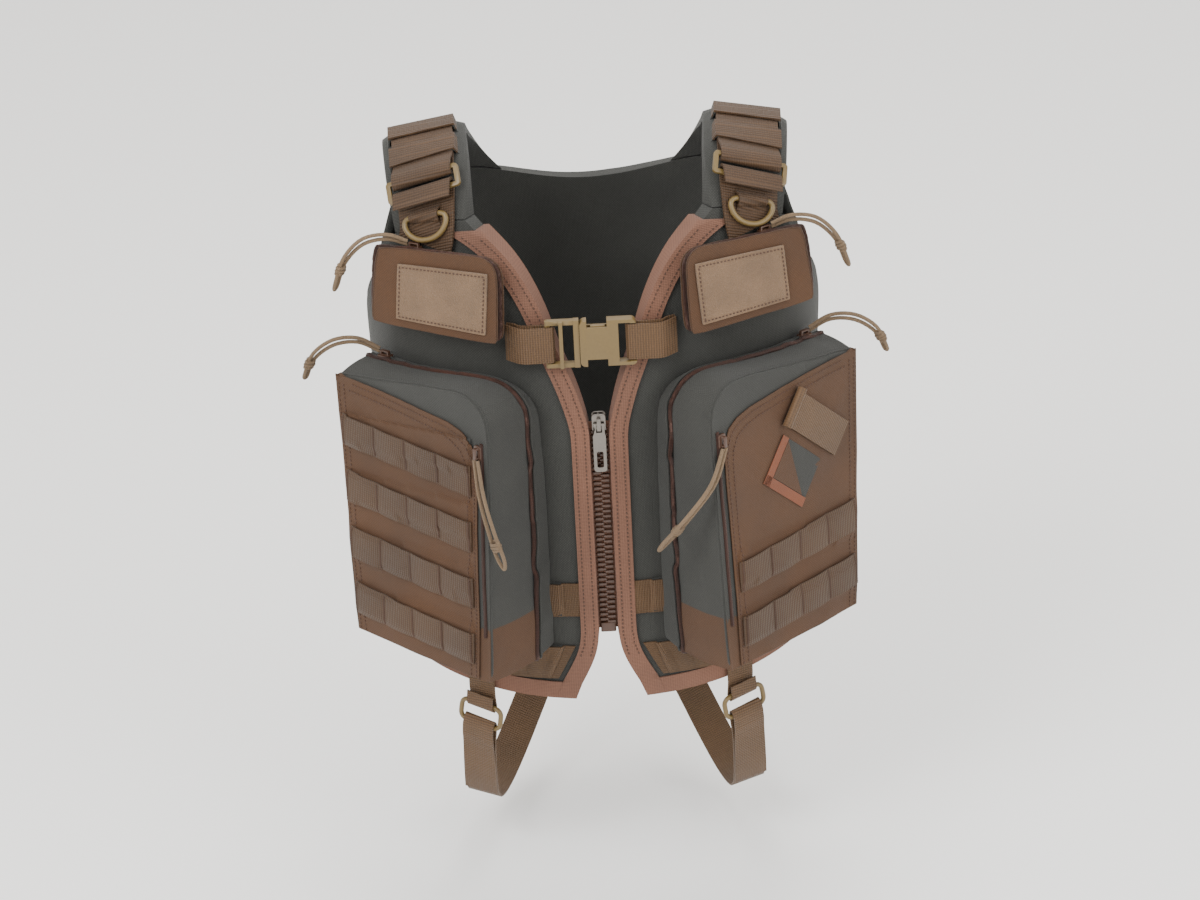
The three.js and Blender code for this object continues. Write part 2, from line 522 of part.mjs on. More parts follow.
// A doubled cord pull: out along one side, round the end and back
function cordPull(points, side, spread) {
  const n = points.length - 1;
  const go = points.map((p, i) => vec(side * p[0], p[1], p[2])
    .addScaledVector(vec(...spread), -Math.sin(Math.PI * 0.5 * i / n) * 0.5 - 0.5));
  const back = points.map((p, i) => vec(side * p[0], p[1], p[2])
    .addScaledVector(vec(...spread), Math.sin(Math.PI * 0.5 * i / n) * 0.5 + 0.5)).reverse();
  const tip = points[n], before = points[n - 1];
  const beyond = vec(side * (tip[0] * 1.25 - before[0] * 0.25), tip[1] * 1.25 - before[1] * 0.25,
    tip[2] * 1.25 - before[2] * 0.25);
  return cordTube([...go, beyond, ...back]);
}

// Cord routes on the wearer's left, from the zip puller outward; the right side mirrors x
const pouchCordRoute = [[144.5, -82.5, -48.7], [160, -80, -44], [180, -77, -48], [196, -75, -64], [204, -75, -84]];
const pocketCordRoute = [[173.3, -66.5, -146.5], [191, -62, -139], [211, -60, -141], [228, -59, -153], [235, -58, -168]];
const slotCordRight = [[97.8, -190, -192.4], [95, -197, -221], [89, -202, -249], [82, -204, -275]];
const slotCordLeft = [[97.8, -190, -192.4], [88, -199, -218], [68, -199, -246], [48, -192, -272]];

// The frame of a slider on a bag's top edge, its loop pointing to the outer side
function topSliderFrame(bag, share, depthShare, lift) {
  const top = bag.at(share, 1, depthShare), inner = bag.at(share - 0.3, 1, depthShare);
  const along = top.clone().sub(inner).normalize();
  const out = vec(0, 0, 1).addScaledVector(along, -along.z).normalize();
  return { origin: top.addScaledVector(out, lift), across: out.clone().cross(along), along, out };
}

const pouchSpec = (side) => bagShape(side, { yaw: 32, tilt: 9, corner: [77, -150, -112], width: pouchWidth,
  topWidth: pouchWidth - 8, lean: 4, innerHeight: pouchHeight - 7, outerHeight: pouchHeight - 15, angles: [23.5, 65],
  heights: [-112, -60], lift: coverThickness + tapeThickness + clearance * 3, radius: 16, corners: [0.25, 0.25, 1, 0.4], puff: 0.02,
  steps: [7, 7], split: 0.55, depth: 34 });
const pocketSpec = (side) => bagShape(side, { yaw: 45.5, tilt: 2.6, corner: [96.5, -198, -387], width: pocketWidth + 8,
  topWidth: pocketWidth + 24, lean: -2.3, innerHeight: pocketHeight + 17, outerHeight: pocketHeight - 10,
  angles: [14.5, 66], heights: [-391, -152], lift: coverThickness + webbingThickness + clearance, radius: 34,
  corners: [0.1, 0.1, 1, 0.12], puff: 0.035, steps: [8, 8], split: 0.3, depth: 68 });

function frontSpot(bag, x, y, h) {
  const f = bag.frame;
  return { ...f, origin: f.origin.clone().addScaledVector(f.across, x).addScaledVector(f.along, y).addScaledVector(f.out, h) };
}

function pouch(side) {
  const name = wearerSide(side), bag = pouchSpec(side), parts = bagParts(bag);
  add("pouch_base_" + name, parts.base, "brown");
  add("pouch_lid_" + name, parts.lid, "brown");
  const spot = frontSpot(bag, bag.lean + 6, 6, clearance);
  const patchShape = roundedPlate(0, 84, 0, 50, 0, 1.5, 1.2, 1);
  add("loop_patch_" + name, inFrame(moved(patchShape, (x, y, z) => vec(x, y * (1 - x / 84 * 0.1), z)), spot), "loop");
  add("pouch_slider_" + name, smallSlider(topSliderFrame(bag, 0.62, bag.split - 0.32, 4.3)), "zipPlastic");
  add("pouch_cord_" + name, cordPull(pouchCordRoute, side, [0, -1.8, 3.4]), "cord");
}

function pocket(side) {
  const name = wearerSide(side), bag = pocketSpec(side), parts = bagParts(bag), f = bag.frame;
  add("pocket_base_" + name, parts.base, "slate");
  const rows = side < 0 ? [33, 86, 141, 197] : [33, 86];
  const webbing = rows.map((y) => {
    const x0 = bag.lean * y / bag.innerHeight, k = y / bag.innerHeight;
    return box(x0 + 17, lerp(bag.width, bag.topWidth, k) - 7, y - 14, y + 14, -0.6, webbingThickness);
  });
  add("pocket_lid_" + name, join(parts.lid, ...webbing.map((g) => inFrame(moved(g,
    (x, y, z) => vec(x, y * (1 - x * 0.0006), z)), f))), "brown");

  add("pocket_slider_" + name, smallSlider(topSliderFrame(bag, 0.88, bag.split - 0.1, 2.8)), "zipPlastic");
  add("pocket_cord_" + name, cordPull(pocketCordRoute, side, [0, -1.8, 3.4]), "cord");

  const slotFrame = frontSpot(bag, bag.lean + 9, 200, clearance);
  add("slot_slider_" + name, smallSlider(slotFrame), "zipPlastic");
  const route = side < 0 ? slotCordRight : slotCordLeft;
  add("slot_cord_" + name, cordPull(route, side, [2.6 * side, 2.6, 0]), "cord");
}

// A strap holder on the left pocket: a small sewn patch and a hook-and-loop strap with a rolled end
function holder() {
  const bag = pocketSpec(1), turn = rad(-40);
  const spin = (f) => {
    const across = f.across.clone().multiplyScalar(Math.cos(turn)).addScaledVector(f.along, Math.sin(turn));
    const along = f.along.clone().multiplyScalar(Math.cos(turn)).addScaledVector(f.across, -Math.sin(turn));
    return { ...f, across, along };
  };
  const patch = spin(frontSpot(bag, 86, 146, clearance));
  add("holder_patch", inFrame(roundedPlate(-28, 28, -21, 21, 0, 1.6, 2, 1), patch), "slate");
  const place = spin(frontSpot(bag, 116, 178, clearance));
  const band = box(-36, 38, -15, 15, 1.9, 3.9);
  const roll = new THREE.CylinderGeometry(4, 4, 34, 12).translate(-36, 0, 6.3);
  const foot = box(28, 38, -15, 15, 0, 2.4);
  add("holder_strap", inFrame(join(band, roll, foot), place), "webbing");
}

// Leg straps: from the back hem, down and forward, up to a ring under the front hem
function legStrap(side) {
  const name = wearerSide(side);
  const rows = [[24, 113, -392, 0, 1, 0], [26, 114, -425, 0, 1, 0], [44, 106, -490, 0.2, 1, -0.2],
    [72, 74, -545, 0.3, 0.7, -0.6], [98, 20, -582, 0.3, 0.1, -0.95], [112, -38, -578, 0.3, -0.5, -0.8],
    [113, -78, -540, 0.3, -0.9, -0.3], [111, -98, -490, 0.45, -0.89, 0], [108, -101, -466, 0.5, -0.87, 0]];
  const line = surfaceLine(side, rows.map(([x, y, z, a, b, c]) => [vec(side * x, y, z), vec(side * a, b, c).normalize()]));
  const end = line.length, low = webbingThickness / 2;
  const main = ribbon(line, [[0, 4], [30, 4], [120, 0], [220, 0], [end - 60, 0], [end - 20, 0], [end - 6, 0.4],
    [end - 0.4, 3.6], [end - 6, 6.8], [end - 16, 6], [end - 30, 2.6 + low], [end - 60, 2.1], [end - 90, 2.1]],
    webbingWidth - 2, webbingThickness, 44);
  add("leg_strap_" + name, main, "webbing");

  const f = line.frame(end - 6);
  const ringFrame = { ...f, origin: f.origin.clone().addScaledVector(f.out, 3.6) };
  const outline = [[-15, 0], [-7, 0], [0, 0], [7, 0], [15, 0], [18.4, 3], [18.4, 10], [18.4, 16], [15, 19], [7, 19], [0, 19],
    [-7, 19], [-15, 19], [-18.4, 16], [-18.4, 10], [-18.4, 3]].map(([x, y]) => vec(x, y, 0));
  const ring = new THREE.TubeGeometry(new THREE.CatmullRomCurve3(outline, true), 24, 1.9, 6, true);
  add("leg_ring_" + name, inFrame(mergeVertices(ring), ringFrame), "plastic");

  const topBar = ringFrame.origin.clone().addScaledVector(ringFrame.along, 19);
  const hang = { ...ringFrame, origin: topBar, along: vec(0, 0, 1), across: f.across };
  hang.out = vec(side * 0.5, -0.87, 0).normalize();
  const bend = new THREE.SplineCurve([[36, -2.2], [22, -2.2], [12, -2], [3, -3.2], [0, -3.5], [-3.4, 0], [0, 3.5], [3, 3.2],
    [10, 2.2]].map(([a, b]) => new THREE.Vector2(a, b)));
  const tab = bent(1, 24, 1, (x, y, z) => {
    const q = bend.getPoint(y), way = bend.getTangent(y), off = (z - 0.5) * tapeThickness;
    return hang.origin.clone().addScaledVector(hang.across, (x - 0.5) * 24)
      .addScaledVector(hang.along, q.x - way.y * off).addScaledVector(hang.out, q.y + way.x * off);
  });
  add("hem_tab_" + name, tab, "webbing");
}

for (const side of [-1, 1]) {
  frontCover(side);
  edgeBinding(side);
  zipChain(side);
  shoulder(side);
  pouch(side);
  pocket(side);
  legStrap(side);
}
backCover();
zipSlider();
buckle();
chestStraps();
holder();

vest.name = "vest";
export default vest;
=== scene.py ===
import bpy, bmesh, json, math
from mathutils import Vector, Matrix, noise
from mathutils.bvhtree import BVHTree


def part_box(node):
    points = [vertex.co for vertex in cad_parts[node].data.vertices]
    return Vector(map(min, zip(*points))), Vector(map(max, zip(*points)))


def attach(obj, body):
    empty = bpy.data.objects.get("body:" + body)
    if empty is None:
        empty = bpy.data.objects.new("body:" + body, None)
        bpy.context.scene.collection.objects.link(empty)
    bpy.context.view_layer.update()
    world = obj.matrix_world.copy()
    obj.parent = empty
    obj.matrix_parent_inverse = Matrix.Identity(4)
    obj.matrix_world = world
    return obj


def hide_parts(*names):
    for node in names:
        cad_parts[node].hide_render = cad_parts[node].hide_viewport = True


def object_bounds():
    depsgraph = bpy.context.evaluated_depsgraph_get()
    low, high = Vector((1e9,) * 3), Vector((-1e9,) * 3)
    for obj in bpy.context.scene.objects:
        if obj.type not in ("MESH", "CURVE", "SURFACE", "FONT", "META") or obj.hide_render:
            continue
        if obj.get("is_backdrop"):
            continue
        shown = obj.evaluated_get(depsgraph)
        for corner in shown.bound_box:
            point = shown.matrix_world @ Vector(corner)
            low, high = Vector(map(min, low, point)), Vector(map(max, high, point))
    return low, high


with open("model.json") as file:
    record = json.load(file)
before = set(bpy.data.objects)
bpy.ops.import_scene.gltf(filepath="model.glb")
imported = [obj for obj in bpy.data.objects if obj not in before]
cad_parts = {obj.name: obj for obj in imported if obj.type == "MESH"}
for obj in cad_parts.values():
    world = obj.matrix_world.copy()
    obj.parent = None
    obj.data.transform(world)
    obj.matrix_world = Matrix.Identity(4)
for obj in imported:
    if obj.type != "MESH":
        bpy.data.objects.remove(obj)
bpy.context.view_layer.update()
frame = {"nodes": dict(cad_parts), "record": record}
bodyOf = {}
for bodyName, nodeNames in frame["record"]["behaviour"]["bodies"].items():
    for nodeName in nodeNames:
        bodyOf[nodeName] = bodyName
sides = {"left": 1, "right": -1}  # the wearer's own sides; left is +X


def lerp(a, b, t):
    return a + (b - a) * t


def tableAt(rows, at):  # straight lines between (at, value) rows
    for (a, va), (b, vb) in zip(rows, rows[1:]):
        if at <= b:
            return lerp(va, vb, max(0.0, (at - a) / (b - a)))
    return rows[-1][1]


def clearSelection():
    if bpy.context.mode != "OBJECT":
        bpy.ops.object.mode_set(mode="OBJECT")
    bpy.ops.object.select_all(action="DESELECT")


def pick(piece):
    clearSelection()
    piece.select_set(True)
    bpy.context.view_layer.objects.active = piece


def applyAll(piece):
    pick(piece)
    for modifier in list(piece.modifiers):
        bpy.ops.object.modifier_apply(modifier=modifier.name)


# camera first
print("camera")
cameraSettings = {"aim": Vector((0.0, -0.130, -0.216)), "away": Vector((0.0, -3.085, 1.406)),
                  "lens": 127.1, "roll": 2.8}
bpy.ops.object.camera_add(location=cameraSettings["aim"] + cameraSettings["away"])
camera = bpy.context.object
camera.name = "frontView"
toward = (-cameraSettings["away"]).to_track_quat("-Z", "Y")
camera.rotation_mode = "QUATERNION"
rolled = Matrix.Rotation(-math.radians(cameraSettings["roll"]), 4, "Z").to_quaternion()
camera.rotation_quaternion = toward @ rolled
camera.data.lens = cameraSettings["lens"]
camera.data.sensor_width = 36.0
camera.data.clip_end = 50
bpy.context.scene.camera = camera

# finishes
print("finishes")


def node(tree, kind, **values):
    made = tree.nodes.new(kind)
    for key, value in values.items():
        if hasattr(made, key):
            setattr(made, key, value)
        else:
            made.inputs[key.replace("_", " ")].default_value = value
    return made


def link(tree, a, b):
    tree.links.new(a, b)


def maths(tree, how, a, b=None):
    made = node(tree, "ShaderNodeMath", operation=how)
    for socket, value in zip(made.inputs, (a, b)):
        if value is None:
            continue
        if isinstance(value, (int, float)):
            socket.default_value = value
        else:
            link(tree, value, socket)
    return made.outputs[0]


def newGroup(name, inputs, outputs):
    group = bpy.data.node_groups.new(name, "ShaderNodeTree")
    for label, kind, value in inputs:
        made = group.interface.new_socket(label, in_out="INPUT", socket_type=kind)
        if value is not None:
            made.default_value = value
    for label, kind in outputs:
        group.interface.new_socket(label, in_out="OUTPUT", socket_type=kind)
    return group, node(group, "NodeGroupInput"), node(group, "NodeGroupOutput")


def weaveGroup():  # over and under threads from two coordinates in metres
    group, given, out = newGroup("plainWeave",
        [("Vector", "NodeSocketVector", None), ("Pitch", "NodeSocketFloat", 0.001)],
        [("Height", "NodeSocketFloat"), ("Tone", "NodeSocketFloat")])
    parts = node(group, "ShaderNodeSeparateXYZ")
    link(group, given.outputs["Vector"], parts.inputs[0])
    turns = []
    for axis in (0, 1):
        scaled = maths(group, "DIVIDE", parts.outputs[axis], given.outputs["Pitch"])
        turns.append(maths(group, "SINE", maths(group, "MULTIPLY", scaled, math.pi)))
    product = maths(group, "MULTIPLY", turns[0], turns[1])
    crossing = maths(group, "ABSOLUTE", product)
    over = maths(group, "GREATER_THAN", product, 0.0)
    link(group, maths(group, "POWER", crossing, 0.6), out.inputs["Height"])
    mixed = maths(group, "ADD", maths(group, "MULTIPLY", over, 0.5), maths(group, "MULTIPLY", crossing, 0.5))
    link(group, mixed, out.inputs["Tone"])
    return group


def ribGroup():  # webbing: ribs across, with a fine twill
    group, given, out = newGroup("webbingRibs",
        [("Vector", "NodeSocketVector", None), ("Pitch", "NodeSocketFloat", 0.002)],
        [("Height", "NodeSocketFloat")])
    parts = node(group, "ShaderNodeSeparateXYZ")
    link(group, given.outputs["Vector"], parts.inputs[0])
    along = maths(group, "SINE", maths(group, "MULTIPLY", maths(group, "DIVIDE", parts.outputs[1],
                  given.outputs["Pitch"]), 2 * math.pi))
    across = maths(group, "SINE", maths(group, "MULTIPLY", parts.outputs[0], 2 * math.pi / 0.0019))
    joined = maths(group, "ADD", maths(group, "MULTIPLY", along, 0.34),
                   maths(group, "MULTIPLY", across, 0.14))
    link(group, maths(group, "ADD", joined, 0.5), out.inputs["Height"])
    return group


def patchyGroup():  # slow colour change and fine fading over a piece
    group, given, out = newGroup("patchyFade",
        [("Vector", "NodeSocketVector", None), ("Large", "NodeSocketFloat", 18.0),
         ("Fine", "NodeSocketFloat", 900.0)],
        [("Shade", "NodeSocketFloat"), ("Grain", "NodeSocketFloat")])
    large = node(group, "ShaderNodeTexNoise", Detail=3.0)
    fine = node(group, "ShaderNodeTexNoise", Detail=2.0)
    for made, scale in ((large, "Large"), (fine, "Fine")):
        link(group, given.outputs["Vector"], made.inputs["Vector"])
        link(group, given.outputs[scale], made.inputs["Scale"])
    link(group, large.outputs[0], out.inputs["Shade"])
    link(group, fine.outputs[0], out.inputs["Grain"])
    return group


weaveNodes, ribNodes, patchyNodes = weaveGroup(), ribGroup(), patchyGroup()


def finish(name, look):
    material = bpy.data.materials.new(name)
    material.use_nodes = True
    tree = material.node_tree
    shader = tree.nodes["Principled BSDF"]
    place = node(tree, "ShaderNodeTexCoord")
    vector = place.outputs["UV" if look.get("uv") else "Object"]
    patchy = node(tree, "ShaderNodeGroup", node_tree=patchyNodes)
    patchy.inputs["Large"].default_value = look.get("large", 18.0)
    patchy.inputs["Fine"].default_value = look.get("fine", 900.0)
    link(tree, place.outputs["Object"], patchy.inputs["Vector"])
    tone, height = patchy.outputs["Grain"], patchy.outputs["Grain"]
    if look.get("pattern"):
        made = node(tree, "ShaderNodeGroup", node_tree=weaveNodes if look["pattern"] == "weave" else ribNodes)
        made.inputs["Pitch"].default_value = look["pitch"]
        link(tree, vector, made.inputs["Vector"])
        grain = maths(tree, "MULTIPLY", patchy.outputs["Grain"], look.get("grain", 0.35))
        height = maths(tree, "ADD", made.outputs["Height"], grain)
        tone = maths(tree, "ADD", maths(tree, "MULTIPLY", made.outputs[-1], 0.6),
                     maths(tree, "MULTIPLY", patchy.outputs["Grain"], 0.4))
    ramp = node(tree, "ShaderNodeValToRGB")
    dark = [c * (1 - look.get("spread", 0.3)) for c in look["colour"]] + [1]
    light = [c * (1 + look.get("spread", 0.3)) for c in look["colour"]] + [1]
    ramp.color_ramp.elements[0].position, ramp.color_ramp.elements[0].color = 0.2, dark
    ramp.color_ramp.elements[1].position, ramp.color_ramp.elements[1].color = 0.8, light
    link(tree, tone, ramp.inputs[0])
    shade = node(tree, "ShaderNodeMapRange")
    for label, value in (("From Min", 0.3), ("From Max", 0.7), ("To Min", 1 - look.get("fade", 0.14)),
                         ("To Max", 1 + look.get("fade", 0.14))):
        shade.inputs[label].default_value = value
    link(tree, patchy.outputs["Shade"], shade.inputs["Value"])
    mixed = node(tree, "ShaderNodeVectorMath", operation="SCALE")
    link(tree, ramp.outputs["Color"], mixed.inputs[0])
    link(tree, shade.outputs[0], mixed.inputs["Scale"])
    link(tree, mixed.outputs[0], shader.inputs["Base Color"])
    rough = node(tree, "ShaderNodeMapRange")
    rough.inputs["To Min"].default_value = look["rough"] - 0.08
    rough.inputs["To Max"].default_value = look["rough"] + 0.08
    link(tree, patchy.outputs["Shade"], rough.inputs["Value"])
    link(tree, rough.outputs[0], shader.inputs["Roughness"])
    bump = node(tree, "ShaderNodeBump", Strength=look.get("bump", 0.5), Distance=look.get("deep", 0.0004))
    link(tree, height, bump.inputs["Height"])
    link(tree, bump.outputs[0], shader.inputs["Normal"])
    shader.inputs["Metallic"].default_value = look.get("metal", 0.0)
    shader.inputs["Sheen Weight"].default_value = look.get("sheen", 0.0)
    shader.inputs["Sheen Roughness"].default_value = 0.5
    shader.inputs["Specular IOR Level"].default_value = look.get("specular", 0.35)
    return material


cloth = dict(pattern="weave", pitch=0.0011, uv=True, sheen=0.0525, bump=0.65, deep=0.0004)
webbing = dict(pattern="rib", pitch=0.0021, uv=True, rough=0.6, sheen=0.035, bump=0.9, deep=0.0007,
               spread=0.34, grain=0.2)
looks = {
    "slateCloth": dict(cloth, colour=(0.0275, 0.0280, 0.0250), rough=0.82, spread=0.42),
    "brownCloth": dict(cloth, colour=(0.058, 0.0245, 0.0082), rough=0.78, spread=0.40),
    "rustCloth": dict(colour=(0.140, 0.042, 0.017), pattern="weave", pitch=0.0009, uv=True, rough=0.62,
                      spread=0.25),
    "tape": dict(colour=(0.128, 0.060, 0.038), pattern="rib", pitch=0.0013, uv=True, rough=0.8, sheen=0.035,
                 bump=0.5, spread=0.30),
    "strapWeb": dict(webbing, colour=(0.076, 0.040, 0.0165)),
    "rowWeb": dict(webbing, colour=(0.047, 0.0235, 0.0095)),
    "loopFuzz": dict(colour=(0.150, 0.092, 0.052), rough=0.95, fine=1500.0, bump=1.0, deep=0.0012,
                     spread=0.35, sheen=0.14, large=40.0),
    "acetal": dict(colour=(0.120, 0.078, 0.024), rough=0.42, fine=600.0, bump=0.12, deep=0.0002,
                   spread=0.06, fade=0.05, specular=0.5),
    "zinc": dict(colour=(0.17, 0.155, 0.14), metal=1.0, rough=0.28, fine=800.0, bump=0.1, deep=0.0001,
                 spread=0.08, fade=0.05, specular=0.5),
    "zipTeeth": dict(colour=(0.050, 0.022, 0.012), rough=0.38, fine=700.0, bump=0.1, deep=0.0002, spread=0.08,
                     specular=0.5),
    "zipCoil": dict(colour=(0.062, 0.026, 0.018), pattern="rib", pitch=0.0016, uv=True, rough=0.5, bump=1.0,
                    deep=0.0006, spread=0.5),
    "braid": dict(colour=(0.200, 0.132, 0.074), pattern="weave", pitch=0.0014, uv=True, rough=0.8, sheen=0.07,
                  bump=0.8, deep=0.0005, spread=0.3),
    "thread": dict(colour=(0.055, 0.028, 0.018), rough=0.7, fine=2500.0, spread=0.2),
}
mats = {name: finish(name, look) for name, look in looks.items()}


def settle(piece, name, look, body, *nodes):  # name, finish, body and the CAD nodes it stands for
    piece.name = name
    piece.data.name = name
    if look and not piece.data.materials:
        piece.data.materials.append(mats[look])
    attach(piece, body)
    if nodes:
        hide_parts(*nodes)
    return piece


# cords come next: the same points as the CAD, in metres
print("cords")
cordSettings = {
    "width": 0.0032,
    "pouch": [(.1445, -.0825, -.0487), (.160, -.080, -.044), (.180, -.077, -.048), (.196, -.075, -.064),
              (.204, -.075, -.084)],
    "pocket": [(.1733, -.0665, -.1465), (.191, -.062, -.139), (.211, -.060, -.141), (.228, -.059, -.153),
               (.235, -.058, -.168)],
    "slotright": [(.0978, -.190, -.1924), (.095, -.197, -.221), (.089, -.202, -.249), (.082, -.204, -.275)],
    "slotleft": [(.0978, -.190, -.1924), (.088, -.199, -.218), (.068, -.199, -.246), (.048, -.192, -.272)],
    "topSpread": (0, -.0018, .0034),
    "slotSpread": (.0026, .0026, 0),
    "knotAt": {"pouch": 0.86, "pocket": 0.86, "slot": 0.84},
}


def smoothLine(points, steps):  # centripetal curve through the points
    ends = [points[0] * 2 - points[1]] + points + [points[-1] * 2 - points[-2]]
    made = []
    for i in range(1, len(ends) - 2):
        p = ends[i - 1:i + 3]
        t = [0.0]
        for a, b in zip(p, p[1:]):
            t.append(t[-1] + max((b - a).length, 1e-9) ** 0.5)
        for k in range(steps):
            s = lerp(t[1], t[2], k / steps)
            a1 = p[0] * ((t[1] - s) / (t[1] - t[0])) + p[1] * ((s - t[0]) / (t[1] - t[0]))
            a2 = p[1] * ((t[2] - s) / (t[2] - t[1])) + p[2] * ((s - t[1]) / (t[2] - t[1]))
            a3 = p[2] * ((t[3] - s) / (t[3] - t[2])) + p[3] * ((s - t[2]) / (t[3] - t[2]))
            b1 = a1 * ((t[2] - s) / (t[2] - t[0])) + a2 * ((s - t[0]) / (t[2] - t[0]))
            b2 = a2 * ((t[3] - s) / (t[3] - t[1])) + a3 * ((s - t[1]) / (t[3] - t[1]))
            made.append(b1 * ((t[2] - s) / (t[2] - t[1])) + b2 * ((s - t[1]) / (t[2] - t[1])))
    return made + [points[-1]]


def cordPoints(route, side, spread):
    n = len(route) - 1
    middle = [Vector((side * x, y, z)) for x, y, z in route]
    off = [math.sin(math.pi / 2 * i / n) * 0.5 + 0.5 for i in range(n + 1)]
    go = [p - spread * k for p, k in zip(middle, off)]
    back = [p + spread * k for p, k in zip(middle, off)][::-1]
    beyond = middle[-1] * 1.25 - middle[-2] * 0.25
    return go + [beyond] + back, middle


def curvePiece(points, radius, closed=False, fine=3):
    curve = bpy.data.curves.new("line", "CURVE")
    curve.dimensions = "3D"
    spline = curve.splines.new("POLY")
    spline.points.add(len(points) - 1)
    for spot, p in zip(spline.points, points):
        spot.co = (*p, 1)
    spline.use_cyclic_u = closed
    spline.use_smooth = True
    curve.bevel_depth = radius
    curve.bevel_resolution = fine
    curve.use_fill_caps = not closed
    piece = bpy.data.objects.new("line", curve)
    bpy.context.collection.objects.link(piece)
    return piece


def knotPiece(middle, share, spread, width):  # three wraps of the cord round its two runs
    dense = smoothLine(middle, 12)
    i = int(share * (len(dense) - 1))
    tangent = (dense[i + 1] - dense[i - 1]).normalized()
    sideways = (spread - tangent * spread.dot(tangent)).normalized()
    third = tangent.cross(sideways)
    points = []
    for k in range(97):
        angle = k / 96 * 2 * math.pi * 3.25
        swell = 1 - 0.25 * abs(k / 48 - 1)
        rise = tangent * (k / 48 - 1) * 0.0042
        points.append(dense[i] + rise + sideways * math.cos(angle) * 0.0044 * swell
                      + third * math.sin(angle) * 0.0026 * swell)
    piece = curvePiece(points, width * 0.46)
    pick(piece)
    bpy.ops.object.convert(target="MESH")
    return bpy.context.object


for word, side in sides.items():
    for kind in ("pouch", "pocket", "slot"):
        route = cordSettings.get(kind + word) or cordSettings[kind]
        spread = Vector(cordSettings["slotSpread" if kind == "slot" else "topSpread"])
        if kind == "slot":
            spread.x *= side
        through, middle = cordPoints(route, side, spread)
        line = smoothLine(through, 5)
        nodeName = f"{kind}_cord_{word}"
        piece = settle(curvePiece(line, cordSettings["width"] / 2), f"{kind}CordPull.{word}", "braid",
                       bodyOf[nodeName], nodeName)
        knot = settle(knotPiece(middle, cordSettings["knotAt"][kind], spread, cordSettings["width"]),
                      f"{kind}CordKnot.{word}", "braid", bodyOf[nodeName])

# tools for cloth pieces


def copyNode(name):  # a CAD node's mesh, merged, as a new piece
    mesh = frame["nodes"][name].data.copy()
    mesh.materials.clear()
    piece = bpy.data.objects.new(name + "Copy", mesh)
    bpy.context.collection.objects.link(piece)
    pick(piece)
    bpy.ops.object.mode_set(mode="EDIT")
    bpy.ops.mesh.select_all(action="SELECT")
    bpy.ops.mesh.remove_doubles(threshold=0.00002)
    bpy.ops.mesh.tris_convert_to_quads(face_threshold=math.radians(35), shape_threshold=math.radians(60))
    bpy.ops.object.mode_set(mode="OBJECT")
    return piece


def smoothSkin(piece, levels, sharp=38.0, crease=1.0):  # rounds the facets and keeps the sewn edges
    mesh = bmesh.new()
    mesh.from_mesh(piece.data)
    layer = mesh.edges.layers.float.get("crease_edge") or mesh.edges.layers.float.new("crease_edge")
    for edge in mesh.edges:
        if len(edge.link_faces) != 2 or edge.calc_face_angle(0) > math.radians(sharp):
            edge[layer] = crease
    mesh.to_mesh(piece.data)
    mesh.free()
    made = piece.modifiers.new("round", "SUBSURF")
    made.levels = made.render_levels = levels
    applyAll(piece)
    return piece


def crumple(piece, deep, size, seed):  # soft folds, pushed in and out along the normals
    normals = [v.normal.copy() for v in piece.data.vertices]
    for v, n in zip(piece.data.vertices, normals):
        p = v.co / size + Vector((seed, seed * 0.7, 0))
        ridge = 1 - abs(noise.noise(p)) * 2.4
        slow = noise.noise(p * 0.5)
        v.co += n * deep * (ridge * 0.45 + slow * 0.8 - 0.3)
    piece.data.update()


def layUv(piece, axes=None):  # box projection in metres, along the piece's own axes
    a, b, c = axes or (Vector((1, 0, 0)), Vector((0, 0, 1)), Vector((0, -1, 0)))
    layer = piece.data.uv_layers.get("cloth") or piece.data.uv_layers.new(name="cloth")
    for face in piece.data.polygons:
        n = face.normal
        weights = [abs(n.dot(axis)) for axis in (a, b, c)]
        k = weights.index(max(weights))
        u, v = ((b, c), (a, c), (a, b))[k]
        for loop in face.loop_indices:
            p = piece.data.vertices[piece.data.loops[loop].vertex_index].co
            layer.data[loop].uv = (p.dot(u), p.dot(v))


def layAlong(piece, line, widthways):  # u across the strap, v along its line, in metres
    run = [0.0]
    for a, b in zip(line, line[1:]):
        run.append(run[-1] + (b - a).length)
    found = []
    for v in piece.data.vertices:
        best = None
        for i, (a, b) in enumerate(zip(line, line[1:])):
            d = b - a
            t = (v.co - a).dot(d) / d.length_squared
            if i > 0:
                t = max(0.0, t)
            if i < len(line) - 2:
                t = min(1.0, t)
            gap = (v.co - a - d * t).length
            if best is None or gap < best[0]:
                way = d.normalized()
                flat = (widthways - way * widthways.dot(way)).normalized()
                best = (gap, run[i] + d.length * t, (v.co - a - d * t).dot(flat))
        found.append((best[2], best[1]))
    layer = piece.data.uv_layers.get("cloth") or piece.data.uv_layers.new(name="cloth")
    for loop in piece.data.loops:
        layer.data[loop.index].uv = found[loop.vertex_index]


def smoothShade(piece, angle=35):
    pick(piece)
    bpy.ops.object.shade_smooth_by_angle(angle=math.radians(angle), keep_sharp_edges=False)


def surfaceOf(*pieces):  # a search tree over the outside of some pieces
    points, faces = [], []
    for piece in pieces:
        start = len(points)
        points += [v.co.copy() for v in piece.data.vertices]
        faces += [[start + i for i in p.vertices] for p in piece.data.polygons]
    return BVHTree.FromPolygons(points, faces)


def drop(tree, point, way, reach=0.08):  # the first surface below a point
    hit, normal, _, _ = tree.ray_cast(point, way, reach)
    return hit, normal


